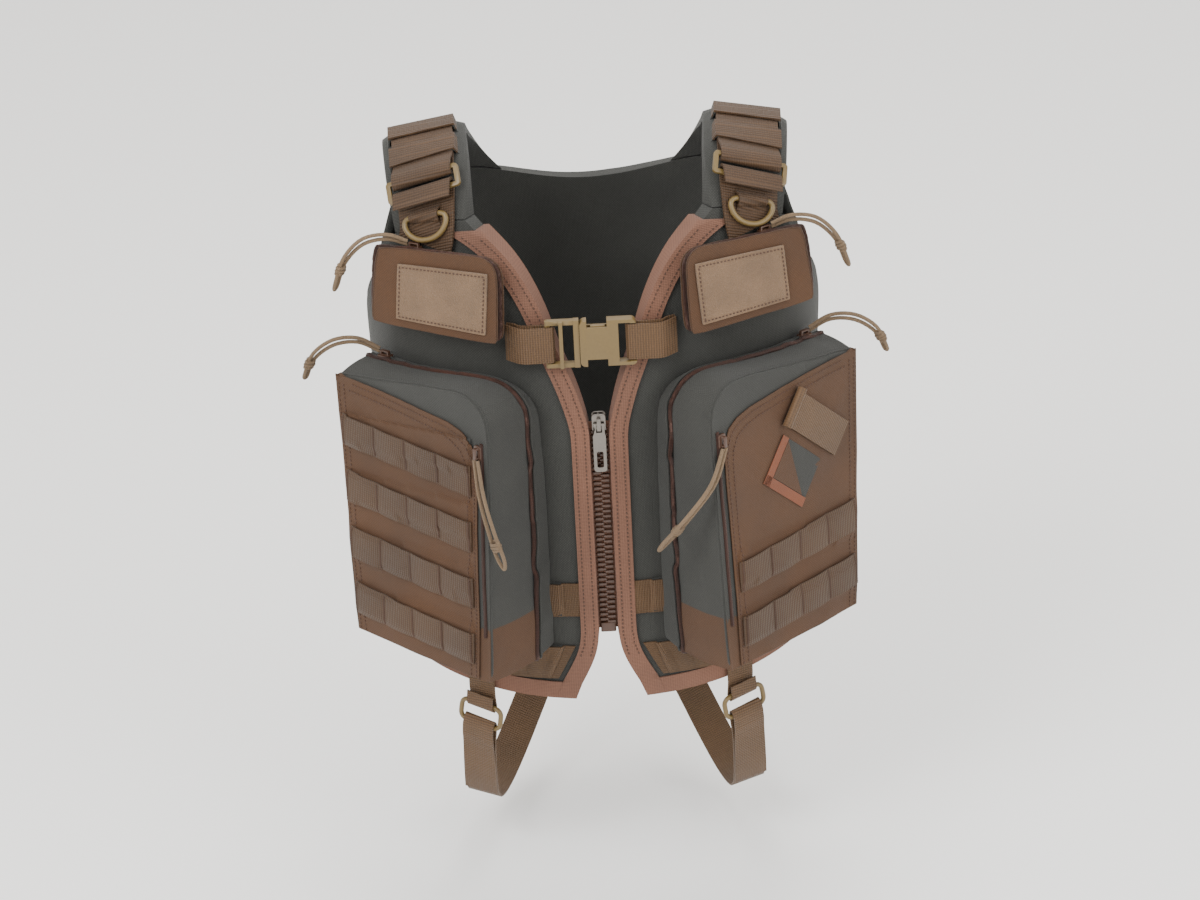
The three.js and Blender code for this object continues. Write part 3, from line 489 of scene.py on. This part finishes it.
def gridPiece(name, nu, nv, spot):  # a grid laid point by point; spot(u, v) for u, v in 0..1
    clearSelection()
    bpy.ops.mesh.primitive_grid_add(x_subdivisions=nu, y_subdivisions=nv, size=1)
    piece = bpy.context.object
    piece.name = name
    layer = piece.data.uv_layers[0]
    layer.name = "cloth"
    where = [(v.co.x + 0.5, v.co.y + 0.5) for v in piece.data.vertices]
    places = [spot(u, v) for u, v in where]
    for v, (p, _) in zip(piece.data.vertices, places):
        v.co = p
    for loop in piece.data.loops:
        layer.data[loop.index].uv = places[loop.vertex_index][1]
    return piece


def thicken(piece, depth, out):  # gives cloth its thickness, outwards
    piece.data.update()
    mean = sum((f.normal * f.area for f in piece.data.polygons), Vector())
    if mean.dot(out) < 0:
        piece.data.flip_normals()
    wall = piece.modifiers.new("wall", "SOLIDIFY")
    wall.thickness = depth
    wall.offset = 1
    applyAll(piece)
    return piece


def resample(points, pitch):
    made, left = [], 0.0
    for a, b in zip(points, points[1:]):
        gap = (b - a).length
        if gap < 1e-9:
            continue
        while left <= gap:
            made.append((a + (b - a) * (left / gap), (b - a) / gap))
            left += pitch
        left -= gap
    return made


def stitches(name, rows, look, body, long=0.0026, wide=0.0009, high=0.0006):
    # rows of (point, along, out); each stitch is a small rounded bar with tucked ends
    points, faces = [], []
    for p, along, out in rows:
        cross = along.cross(out).normalized()
        start = len(points)
        for share, size in ((-0.5, 0.3), (-0.25, 1.0), (0.25, 1.0), (0.5, 0.3)):
            for turn in range(4):
                angle = math.radians(45 + 90 * turn)
                points.append(p + along * long * share + cross * math.cos(angle) * wide * 0.7 * size
                              + out * (math.sin(angle) * high * size + high * (0.3 if size == 1 else -0.6)))
        for ring in range(3):
            for turn in range(4):
                a, b = start + ring * 4 + turn, start + ring * 4 + (turn + 1) % 4
                faces.append((a, b, b + 4, a + 4))
        faces.append((start + 3, start + 2, start + 1, start))
        faces.append((start + 12, start + 13, start + 14, start + 15))
    mesh = bpy.data.meshes.new(name)
    mesh.from_pydata([tuple(p) for p in points], [], faces)
    piece = bpy.data.objects.new(name, mesh)
    bpy.context.collection.objects.link(piece)
    pick(piece)
    bpy.ops.object.mode_set(mode="EDIT")
    bpy.ops.mesh.select_all(action="SELECT")
    bpy.ops.mesh.normals_make_consistent(inside=False)
    bpy.ops.object.mode_set(mode="OBJECT")
    return settle(piece, name, look, body)


def sewLine(line, tree, out, pitch=0.0036):  # stitches along a line laid on a surface
    made = []
    for p, along in resample(line, pitch):
        hit, normal = drop(tree, p + out * 0.03, -out)
        if hit is not None and normal.dot(out) > 0.25:
            made.append((hit, (along - normal * along.dot(normal)).normalized(), normal))
    return made


def pipe(name, points, radius, look, body, closed=False):  # a round bead along a line
    piece = curvePiece(points, radius, closed, 2)
    pick(piece)
    bpy.ops.object.convert(target="MESH")
    piece = bpy.context.object
    layAlong(piece, points if len(points) < 60 else points[::2], Vector((0, 0, 1)))
    smoothShade(piece, 60)
    return settle(piece, name, look, body)


# vest panels
print("panels")
panelSettings = {"levels": 3, "fold": 0.0011, "foldSize": 0.055, "bandHeights": (-0.351, -0.409),
                 "bandWidth": 0.030, "bandEnd": 38, "bandRise": 0.0012, "bandDepth": 0.0014}
front = Vector((0, -1, 0))


def outerShell(piece):  # leaves out the hollow for the foam, which nobody sees
    mesh = bmesh.new()
    mesh.from_mesh(piece.data)
    left, shells = set(mesh.verts), []
    while left:
        waiting = [left.pop()]
        shell = list(waiting)
        while waiting:
            for edge in waiting.pop().link_edges:
                for v in edge.verts:
                    if v in left:
                        left.discard(v)
                        waiting.append(v)
                        shell.append(v)
        shells.append(shell)
    widest = max(shells, key=lambda shell: max(v.co.z for v in shell) - min(v.co.z for v in shell))
    hidden = [v for shell in shells if shell is not widest for v in shell]
    bmesh.ops.delete(mesh, geom=hidden, context="VERTS")
    mesh.to_mesh(piece.data)
    mesh.free()
    return piece


def panel(nodeName, foamName, name, seed):
    piece = smoothSkin(outerShell(copyNode(nodeName)), panelSettings["levels"])
    crumple(piece, panelSettings["fold"], panelSettings["foldSize"], seed)
    layUv(piece)
    smoothShade(piece)
    settle(piece, name, "slateCloth", "vest", nodeName, foamName)
    return piece


frontPanels = {}
for word, side in sides.items():
    frontPanels[word] = panel("cover_front_" + word, "foam_front_" + word, "frontPanel." + word, 3.0 + side)
panel("cover_back", "foam_back", "backPanel", 7.0)

for word, side in sides.items():  # waist webbing sewn across each front
    tree = surfaceOf(frontPanels[word])
    for k, height in enumerate(panelSettings["bandHeights"]):
        def bandSpot(u, v):
            start = lerp(17, 11, v) if k else 7  # the lower band starts on a slant
            angle = math.radians(lerp(start, panelSettings["bandEnd"], u))
            level = height + (v - 0.5) * panelSettings["bandWidth"]
            way = Vector((-math.sin(angle) * side, math.cos(angle), 0))
            hit, _ = drop(tree, Vector((0, 0.02, level)) - way * 0.3, way, 0.3)
            if hit is None:
                hit = Vector((0, 0.02, level)) - way * 0.13
            rise = panelSettings["bandRise"] * abs(math.sin(math.pi * u * 4))
            return (hit - way * (0.0005 + rise * math.sin(math.pi * v) ** 0.5),
                    (v * panelSettings["bandWidth"], u * 0.13))
        band = gridPiece("band", 48, 4, bandSpot)
        thicken(band, panelSettings["bandDepth"], front)
        smoothShade(band)
        settle(band, f"waistBand{k + 1}.{word}", "strapWeb", "vest")

# edge tape, twice stitched
print("edge tape")
edgeSettings = {"rows": (0.22, 0.78), "levels": 110, "from": 0.10, "over": 0.885, "steps": 90, "step": 0.0012,
                "nearest": 0.004, "widest": 0.05}
for word, side in sides.items():
    piece = smoothSkin(copyNode("binding_" + word), 2)
    layUv(piece)
    smoothShade(piece)
    settle(piece, "edgeTape." + word, "tape", "vest", "binding_" + word)
    tree = surfaceOf(piece)
    low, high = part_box("binding_" + word)
    rows = []
    for share in edgeSettings["rows"]:  # along the neck edge: the tape's own width at each height
        line = []
        for i in range(edgeSettings["levels"]):
            part = edgeSettings["from"] + edgeSettings["over"] * i / (edgeSettings["levels"] - 1)
            z = lerp(low[2], high[2], part)
            hits = []
            for k in range(edgeSettings["steps"]):
                x = side * (edgeSettings["nearest"] + k * edgeSettings["step"])
                hit, normal = drop(tree, Vector((x, -0.2, z)), -front, 0.3)
                if hit is not None and normal.dot(front) > 0.3 and (not hits or abs(x - hits[-1].x) < 0.004):
                    hits.append(hit)
            if len(hits) > 3:
                p, q = hits[0], hits[-1]
                if (q - p).length < edgeSettings["widest"]:
                    line.append(lerp(p, q, share))
        if len(line) > 4:
            rows += sewLine(line, tree, front)
    stitches("edgeStitch." + word, rows, "thread", "vest")

# shoulders
print("shoulders")
shoulderSettings = {"line": [(.094, -.100, -.062), (.100, -.086, -.042), (.124, -.050, -.014),
                             (.127, -.020, -.001), (.129, .015, -.001), (.127, .048, -.020),
                             (.124, .080, -.050), (.118, .090, -.090),
                             (.112, .100, -.150)]}
for word, side in sides.items():
    line = smoothLine([Vector((side * x, y, z)) for x, y, z in shoulderSettings["line"]], 4)
    across = Vector((1, 0, 0))
    profile = [Vector((0, p.y, p.z)) for p in line]  # the side view alone, so the ribs run straight across
    pad = smoothSkin(copyNode("shoulder_pad_" + word), 2)
    centre = Vector((side * 0.125, 0.005, -0.09))
    straps = surfaceOf(frame["nodes"]["adjuster_webbing_" + word], frame["nodes"]["front_webbing_" + word])
    pad.data.materials.append(mats["slateCloth"])
    pad.data.materials.append(mats["rowWeb"])
    for face in pad.data.polygons:
        away = face.center - centre
        away.x = 0
        away.normalize()
        spot, _, _, gap = straps.find_nearest(face.center, 0.012)
        if spot is not None and (face.center - spot).dot(away) > 0.0004 and gap < 0.007:
            face.material_index = 1
    layAlong(pad, profile, across)
    smoothShade(pad)
    settle(pad, "shoulderPad." + word, None, "vest", "shoulder_pad_" + word)
    for nodeName, name in (("front_webbing_", "frontWebbing."), ("adjuster_webbing_", "adjusterWebbing.")):
        web = smoothSkin(copyNode(nodeName + word), 2)
        layAlong(web, profile, across)
        smoothShade(web)
        settle(web, name + word, "rowWeb", "vest", nodeName + word)


def roundedNode(nodeName, name, look, bevel=0.0, swell=0.0):  # a moulded part with its edges eased
    piece = copyNode(nodeName)
    if bevel:
        edge = piece.modifiers.new("edge", "BEVEL")
        edge.width, edge.segments, edge.limit_method = bevel, 2, "ANGLE"
        applyAll(piece)
    else:
        smoothSkin(piece, 2, 60, 0.0)
    normals = [v.normal.copy() for v in piece.data.vertices]
    for v, n in zip(piece.data.vertices, normals):  # gives back what rounding took
        v.co += n * swell
    smoothShade(piece, 45)
    return settle(piece, name, look, bodyOf[nodeName], nodeName)


# moulded and metal fittings
print("fittings")
for word in sides:
    roundedNode("d_ring_" + word, "dRing." + word, "acetal", swell=0.0006)
    roundedNode("leg_ring_" + word, "legRing." + word, "acetal", swell=0.0005)
    roundedNode("ladder_buckle_" + word, "ladderBuckle." + word, "acetal", bevel=0.0006)
    for kind in ("pouch", "pocket", "slot"):
        roundedNode(f"{kind}_slider_{word}", f"{kind}Slider.{word}", "zipTeeth", bevel=0.0003)
for nodeName, name in (("buckle_plug", "bucklePlug"), ("buckle_socket", "buckleSocket"),
                       ("buckle_arm_upper", "buckleArmUpper"), ("buckle_arm_lower", "buckleArmLower")):
    roundedNode(nodeName, name, "acetal", bevel=0.0010)
for nodeName, name in (("zip_slider", "mainSlider"), ("zip_pull", "mainPull")):
    roundedNode(nodeName, name, "zinc", bevel=0.0003)

# main zip: moulded teeth that close over each other, on two tapes
zipSettings = {"top": -0.1935, "bottom": -0.3765, "depth": -0.1255, "slope": 0.02887, "pitch": 0.0046,
               "tooth": (0.0046, 0.0032, 0.0029), "neck": ((0.62, 0.0006), (1.5, 0.0008), (0.7, 0.00105)),
               "edge": 0.00035, "toothAt": 0.0042, "tapeInner": 0.0004, "tapeOuter": 0.0098,
               "tapeDepth": 0.0007, "tapeBack": 0.0022, "cordEdge": 0.0008, "tapeRise": 0.0003,
               "tapeLength": 0.19,
               "stopBox": (0.0125, 0.0046, 0.0085), "stopAt": -0.3790, "stopEdge": 0.0010}


def zipSpot(x, z, forward=0.0):
    return Vector((x, zipSettings["depth"] + (zipSettings["top"] - z) * zipSettings["slope"] - forward, z))


def oneTooth():  # a block with a necked round head that reaches over the middle
    wide, deep, tall = zipSettings["tooth"]
    clearSelection()
    bpy.ops.mesh.primitive_cube_add(size=1, location=(0, 0, 0))
    tooth = bpy.context.object
    bpy.ops.object.mode_set(mode="EDIT")
    bpy.ops.transform.resize(value=(wide, deep, tall * 0.8))
    mesh = bmesh.from_edit_mesh(tooth.data)
    mesh.faces.ensure_lookup_table()
    for grow, out in zipSettings["neck"]:
        for face in mesh.faces:
            face.select_set(False)
        end = min(mesh.faces, key=lambda f: f.calc_center_median().x)
        end.select_set(True)
        bmesh.update_edit_mesh(tooth.data)
        bpy.ops.mesh.extrude_region_move(TRANSFORM_OT_translate={"value": (-out, 0, 0)})
        bpy.ops.transform.resize(value=(1, 0.95, grow))
        mesh = bmesh.from_edit_mesh(tooth.data)
        mesh.faces.ensure_lookup_table()
    bpy.ops.object.mode_set(mode="OBJECT")
    edge = tooth.modifiers.new("edge", "BEVEL")
    edge.width, edge.segments, edge.limit_method = zipSettings["edge"], 1, "ANGLE"
    applyAll(tooth)
    return tooth


for word, side in sides.items():
    tooth = oneTooth()
    teeth = bmesh.new()
    count = int((zipSettings["top"] - zipSettings["bottom"]) / zipSettings["pitch"])
    for i in range(count):
        z = zipSettings["bottom"] + (i + (0.5 if side > 0 else 0)) * zipSettings["pitch"]
        one = bmesh.new()
        one.from_mesh(tooth.data)
        at = zipSpot(side * zipSettings["toothAt"], z)
        if side < 0:
            bmesh.ops.rotate(one, verts=one.verts, matrix=Matrix.Rotation(math.pi, 3, "Z"))
        bmesh.ops.translate(one, verts=one.verts, vec=at)
        held = bpy.data.meshes.new("held")
        one.to_mesh(held)
        one.free()
        teeth.from_mesh(held)
        bpy.data.meshes.remove(held)
    mesh = bpy.data.meshes.new("teeth")
    teeth.to_mesh(mesh)
    teeth.free()
    bpy.data.objects.remove(tooth)
    piece = bpy.data.objects.new("teeth", mesh)
    bpy.context.collection.objects.link(piece)
    settle(piece, "zipTeeth." + word, "zipTeeth", "vest", "zip_chain_" + word)

    def tapeSpot(u, v):
        x = lerp(zipSettings["tapeInner"], zipSettings["tapeOuter"], u)
        ridge = zipSettings["cordEdge"] if u < 0.12 else zipSettings["tapeRise"] * math.sin(u * math.pi)
        z = lerp(zipSettings["bottom"] - 0.004, zipSettings["top"], v)
        return zipSpot(side * x, z, ridge - zipSettings["tapeBack"]), (x, v * zipSettings["tapeLength"])
    strip = gridPiece("tape", 12, 60, tapeSpot)
    thicken(strip, zipSettings["tapeDepth"], front)
    smoothShade(strip)
    settle(strip, "zipTape." + word, "tape", "vest")
clearSelection()
bpy.ops.mesh.primitive_cube_add(size=1, location=(0, 0, 0))  # the stop box at the bottom of the zip
stopBox = bpy.context.object
bpy.ops.object.mode_set(mode="EDIT")
bpy.ops.transform.resize(value=zipSettings["stopBox"])
bpy.ops.mesh.bevel(offset=zipSettings["stopEdge"], segments=2)
bpy.ops.transform.translate(value=tuple(zipSpot(0, zipSettings["stopAt"])))
bpy.ops.object.mode_set(mode="OBJECT")
smoothShade(stopBox)
settle(stopBox, "zipStopBox", "zipTeeth", "vest")

# chest straps, leg straps and tabs
print("straps")
legLine = [(.024, .113, -.392), (.026, .114, -.425), (.044, .106, -.490), (.072, .074, -.545),
           (.098, .020, -.582), (.112, -.038, -.578), (.113, -.078, -.540), (.111, -.098, -.490),
           (.108, -.101, -.460)]
strapSettings = (("chest_strap_", "chestStrap.", [(0.02, -0.13, -0.119), (0.10, -0.13, -0.119)], (0, 0, 1)),
                 ("leg_strap_", "legStrap.", legLine, (1, 0, 0)),
                 ("hem_tab_", "hemTab.", [(0.11, -0.1, -0.40), (0.11, -0.1, -0.48)], (1, 0, 0)))
for word, side in sides.items():
    for nodeName, name, route, widthways in strapSettings:
        line = [Vector((side * x, y, z)) for x, y, z in route]
        if len(line) > 2:
            line = smoothLine(line, 4)
        web = smoothSkin(copyNode(nodeName + word), 2)
        layAlong(web, line, Vector(widthways))
        smoothShade(web)
        settle(web, name + word, "strapWeb", "vest", nodeName + word)

# pouches and pockets share one way of making
print("pouches and pockets")
pouchSettings = {"yaw": 32, "tilt": 9, "corner": (.077, -.150, -.112), "width": .118, "topWidth": .110,
                 "lean": .004,
                 "innerHeight": .069, "fold": .0006, "foldSize": .030, "even": 2, "pipingBehind": .002}
pocketSettings = {"yaw": 45.5, "tilt": 2.6, "corner": (.0965, -.198, -.387), "width": .158, "topWidth": .174,
                  "lean": -.0023, "innerHeight": .249, "fold": .0012, "foldSize": .045, "even": 4,
                  "pipingBehind": .0025,
                  "frontInner": [(0, .012), (.184, .009), (.196, .0105), (.2055, .016), (.2115, .026),
                                 (.2155, .042),
                                 (.2185, .080), (.2205, .120), (.2215, .150)],
                  "frontOuter": [(0, .1545), (.2215, .1715)], "frontLift": .0009, "frontDepth": .0008,
                  "rowHeight": .0265, "rowSlope": .03, "rowRise": .0014, "rowDepth": .0011,
                  "tackHeight": .024, "tacks": 4,
                  "rows": {"right": (.0275, .0765, .1255, .1735), "left": (.031, .079)},
                  "slotZip": (.040, .208), "slotIn": .0055}
zipLook = {"coil": .0019, "edge": .0011, "edgeBehind": .0042, "piping": .0012, "slotCoil": .0017}


def bagFrame(side, bag):
    yaw, tilt = math.radians(bag["yaw"]), math.radians(bag["tilt"])
    across = Vector((side * math.cos(yaw), math.sin(yaw), 0))
    out = Vector((side * math.sin(yaw) * math.cos(tilt), -math.cos(yaw) * math.cos(tilt), math.sin(tilt)))
    along = out.cross(across) * side
    x, y, z = bag["corner"]
    return Vector((side * x, y, z)), across, along, out


def frontRing(tree, place, bag):  # a closed line round the bag, a little behind its front
    origin, across, along, out = place
    middle = origin + across * (bag["topWidth"] / 2 + bag["lean"] / 2)
    middle = middle + along * bag["innerHeight"] * 0.47 - out * bag["pipingBehind"]
    made = []
    for i in range(120):
        angle = 2 * math.pi * i / 120
        way = across * math.cos(angle) * bag["width"] + along * math.sin(angle) * bag["innerHeight"]
        way.normalize()
        hit, _ = drop(tree, middle + way * 0.3, -way, 0.3)
        if hit is not None:
            made.append(hit)
    return made


def rimLine(base, lid, place, bag):  # the zip's line: where the two halves meet, outer wall
    origin, across, along, out = place
    middle = origin + across * bag["width"] / 2 + along * bag["innerHeight"] / 2
    tree = surfaceOf(lid)
    sectors = {}
    for v in base.data.vertices:
        spot = tree.find_nearest(v.co, 0.0016)[0]
        if spot is None:
            continue
        r = v.co - middle
        x, y = r.dot(across) / bag["width"], r.dot(along) / bag["innerHeight"]
        key = round(math.degrees(math.atan2(y, x)) / 5)
        if key not in sectors or math.hypot(x, y) > sectors[key][0]:
            sectors[key] = (math.hypot(x, y), lerp(v.co, spot, 0.5))
    return [sectors[key][1] for key in sorted(sectors)]


def coilLine(rim, halves, out, even):  # evens the rim's radii, and lays it on the skin of both halves
    middle = sum(rim, Vector()) / len(rim)
    skins = [surfaceOf(halves["base"]), surfaceOf(halves["lid"])]
    loop = smoothLine(rim + [rim[0]], 4)[:-1]
    reach, ways = [], []
    for p in loop:
        flat = (p - middle) - out * (p - middle).dot(out)
        way = flat.normalized()
        far = flat.length
        for skin in skins:
            for shift in (-0.003, -0.0015, 0.0015, 0.003):
                hit, _ = drop(skin, p + way * 0.03 + out * shift, -way, 0.05)
                if hit is not None:
                    far = max(far, (hit - middle).dot(way))
        ways.append(way)
        reach.append(far)
    made = []
    for i, (p, way) in enumerate(zip(loop, ways)):
        near = sum(reach[(i + j) % len(loop)] for j in range(-even, even + 1)) / (2 * even + 1)
        far = max(near, reach[i] - 0.0004)
        made.append(middle + out * (p - middle).dot(out) + way * (far + 0.0002))
    return made


for word, side in sides.items():
    for kind, bag, look in (("pouch", pouchSettings, "brownCloth"), ("pocket", pocketSettings, "slateCloth")):
        place = bagFrame(side, bag)
        origin, across, along, out = place
        lidBody = bodyOf[f"{kind}_lid_{word}"]
        halves = {}
        for half in ("base", "lid"):
            piece = smoothSkin(copyNode(f"{kind}_{half}_{word}"), 3)
            crumple(piece, bag["fold"], bag["foldSize"], side * 2.0 + (5 if half == "lid" else 0))
            layUv(piece, (across, along, out))
            piece.data.materials.append(mats[look])
            if kind == "pocket":
                piece.data.materials.append(mats["brownCloth"])
                for face in piece.data.polygons:
                    r = face.center - origin
                    low = r.dot(along) < 0.046 and r.dot(across) < 0.05 and half == "lid"
                    outer = face.normal.dot(across) > 0.6 and half == "lid" and r.dot(along) > 0.02
                    if low or outer:
                        face.material_index = 1
            smoothShade(piece)
            settle(piece, f"{kind}{half.capitalize()}.{word}", None, bodyOf[f"{kind}_{half}_{word}"],
                   f"{kind}_{half}_{word}")
            halves[half] = piece
        tree = surfaceOf(halves["lid"])
        rim = rimLine(frame["nodes"][f"{kind}_base_{word}"], frame["nodes"][f"{kind}_lid_{word}"], place, bag)
        coil = coilLine(rim, halves, out, bag["even"])
        pipe(f"{kind}ZipCoil.{word}", coil, zipLook["coil"], "zipCoil", "vest", closed=True)
        edge = [p - out * zipLook["edgeBehind"] for p in coil]
        pipe(f"{kind}ZipEdge.{word}", edge, zipLook["edge"], look, "vest", closed=True)
        ring = frontRing(tree, place, bag)
        pipe(f"{kind}Piping.{word}", ring, zipLook["piping"], look, lidBody, closed=True)
        if kind == "pouch":
            continue
        # brown front panel, cut away in a curve at its inner top corner
        top = bag["frontInner"][-1][0]

        def frontSpot(u, v):
            y = top * (1 - (1 - v) ** 2.2)  # closer together where the edge curves
            x = lerp(tableAt(bag["frontInner"], y), tableAt(bag["frontOuter"], y), u)
            p = origin + across * x + along * (y + 0.0015)
            hit, _ = drop(tree, p + out * 0.04, -out)
            return (hit if hit is not None else p) + out * bag["frontLift"], (x, y)
        brown = gridPiece("front", 60, 96, frontSpot)
        thicken(brown, bag["frontDepth"], out)
        smoothShade(brown)
        settle(brown, f"pocketFront.{word}", "brownCloth", lidBody)
        frontTree = surfaceOf(brown, halves["lid"])
        rows = []
        for inset in (0.003, 0.009):
            line = [origin + across * (tableAt(bag["frontInner"], y) + inset) + along * (y - inset * (y / top))
                    for y in [top * (1 - (1 - i / 70) ** 2.2) for i in range(70)]]
            rows += sewLine(line, frontTree, out)
            line = [origin + across * (tableAt(bag["frontOuter"], y) - inset) + along * y
                    for y in [top * i / 60 for i in range(60)]]
            rows += sewLine(line, frontTree, out)
        # webbing rows, tacked down at equal steps
        for k, y0 in enumerate(bag["rows"][word]):
            x0 = bag["lean"] * y0 / bag["innerHeight"] + 0.0165
            x1 = lerp(bag["width"], bag["topWidth"], y0 / bag["innerHeight"]) - 0.0065
            tacks = bag["tacks"]

            def rowSpot(u, v):
                x, y = lerp(x0, x1, u), (y0 + (v - 0.5) * bag["rowHeight"])
                y += (x - x0) * bag["rowSlope"]
                hit, _ = drop(frontTree, origin + across * x + along * y + out * 0.04, -out)
                if hit is None:
                    hit = origin + across * x + along * y + out * 0.002
                rise = bag["rowRise"] * abs(math.sin(math.pi * u * tacks)) ** 0.7
                return hit + out * (0.0006 + rise), ((v - 0.5) * bag["rowHeight"], x)
            strip = gridPiece("row", 64, 6, rowSpot)
            thicken(strip, bag["rowDepth"], out)
            smoothShade(strip)
            settle(strip, f"pocketRow{k + 1}.{word}", "rowWeb", lidBody)
            stripTree = surfaceOf(strip)
            for j in range(tacks + 1):
                x = lerp(x0 + 0.0015, x1 - 0.0015, j / tacks)
                for i in range(17):
                    y = y0 + (i / 16 - 0.5) * bag["tackHeight"] + (x - x0) * bag["rowSlope"]
                    hit, _ = drop(stripTree, origin + across * x + along * y + out * 0.04, -out)
                    if hit is not None:
                        rows.append((hit, across, out))
        stitches(f"pocketStitch.{word}", rows, "thread", lidBody)
        # the slot zip down the inner edge of the front
        slotLine = []
        for i in range(50):
            y = lerp(*bag["slotZip"], i / 49)
            x = bag["lean"] * y / bag["innerHeight"] + bag["slotIn"]
            hit, _ = drop(tree, origin + across * x + along * y + out * 0.04, -out)
            if hit is not None:
                slotLine.append(hit + out * 0.0004)
        pipe(f"slotZipCoil.{word}", slotLine, zipLook["slotCoil"], "zipCoil", lidBody)

# loop patches
print("patches")
loopCorners = [(0.0125, 0.0085), (0.0915, 0.0082), (0.0915, 0.0485), (0.0125, 0.0532), (0.0125, 0.0085)]
for word, side in sides.items():
    nodeName = "loop_patch_" + word
    patch = smoothSkin(copyNode(nodeName), 2)
    smoothShade(patch)
    settle(patch, "loopPatch." + word, "loopFuzz", bodyOf[nodeName], nodeName)
    origin, across, along, out = bagFrame(side, pouchSettings)
    tree = surfaceOf(patch)
    line = [origin + across * x + along * y for x, y in loopCorners]
    rows = sewLine(line, tree, out, 0.0034)
    stitches("loopStitch." + word, rows, "thread", bodyOf[nodeName])

# strap holder on the left pocket
origin, across, along, out = bagFrame(1, pocketSettings)
turn = math.radians(-40)
spunAcross = across * math.cos(turn) + along * math.sin(turn)
spunAlong = along * math.cos(turn) - across * math.sin(turn)
patch = smoothSkin(copyNode("holder_patch"), 2)
layUv(patch, (spunAcross, spunAlong, out))
smoothShade(patch)
settle(patch, "holderPatch", "slateCloth", bodyOf["holder_patch"], "holder_patch")
tree = surfaceOf(patch)
patchCentre = origin + across * 0.086 + along * 0.146
holderEdges = ((-0.028, 0.028, -0.0215, -0.0135), (-0.0285, -0.0205, -0.0215, 0.021))
for k, (x0, x1, y0, y1) in enumerate(holderEdges):
    def edgeSpot(u, v):
        p = patchCentre + spunAcross * lerp(x0, x1, u) + spunAlong * lerp(y0, y1, v)
        hit, _ = drop(tree, p + out * 0.02, -out)
        laid = (hit if hit is not None else p + out * 0.0019) + out * 0.0002
        return laid, (lerp(x0, x1, u), lerp(y0, y1, v))
    strip = gridPiece("edge", 14, 8, edgeSpot)
    thicken(strip, 0.0006, out)
    settle(strip, f"holderEdge{k + 1}", "rustCloth", bodyOf["holder_patch"])


def triangleSpot(u, v):
    x = lerp(-0.020, lerp(0.022, -0.020, v), u)
    y = lerp(-0.013, 0.019, v)
    p = patchCentre + spunAcross * x + spunAlong * y
    hit, _ = drop(tree, p + out * 0.02, -out)
    return (hit if hit is not None else p + out * 0.0019) + out * 0.0003, (x, y)


triangle = gridPiece("triangle", 10, 14, triangleSpot)
thicken(triangle, 0.0005, out)
settle(triangle, "holderTriangle", "brownCloth", bodyOf["holder_patch"])
web = smoothSkin(copyNode("holder_strap"), 2)
strapCentre = origin + across * 0.116 + along * 0.178
layAlong(web, [strapCentre - spunAcross * 0.04, strapCentre + spunAcross * 0.04], spunAlong)
smoothShade(web)
settle(web, "holderStrap", "strapWeb", bodyOf["holder_strap"], "holder_strap")

# floor and light
print("studio")
studioSettings = {"floor": -0.62, "key": 95, "fill": 46, "top": 44, "sky": 1.45}
clearSelection()
bpy.ops.mesh.primitive_plane_add(size=40, location=(0, 0, 0))
floor = bpy.context.object
for v in floor.data.vertices:
    v.co.z += studioSettings["floor"]
floor.name = "floor"
floorMaterial = bpy.data.materials.new("paleFloor")
floorMaterial.use_nodes = True
floorMaterial.node_tree.nodes["Principled BSDF"].inputs["Base Color"].default_value = (0.88, 0.88, 0.87, 1)
floorMaterial.node_tree.nodes["Principled BSDF"].inputs["Roughness"].default_value = 0.9
floor.data.materials.append(floorMaterial)
floor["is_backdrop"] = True
for name, place, size, power in (("keyLight", (-1.6, -2.2, 2.0), 1.6, studioSettings["key"]),
                                 ("fillLight", (2.0, -1.8, 1.0), 1.8, studioSettings["fill"]),
                                 ("topLight", (0.2, 0.6, 2.6), 1.6, studioSettings["top"])):
    bpy.ops.object.light_add(type="AREA", location=place)
    lamp = bpy.context.object
    lamp.name = name
    lamp.data.size = size
    lamp.data.energy = power
    lamp.rotation_euler = (Vector((0, 0, -0.2)) - Vector(place)).to_track_quat("-Z", "Y").to_euler()
world = bpy.data.worlds.new("paleRoom")
bpy.context.scene.world = world
world.use_nodes = True
world.node_tree.nodes["Background"].inputs[0].default_value = (1.0, 0.975, 0.94, 1)
world.node_tree.nodes["Background"].inputs[1].default_value = studioSettings["sky"]

low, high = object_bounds()
print("done")
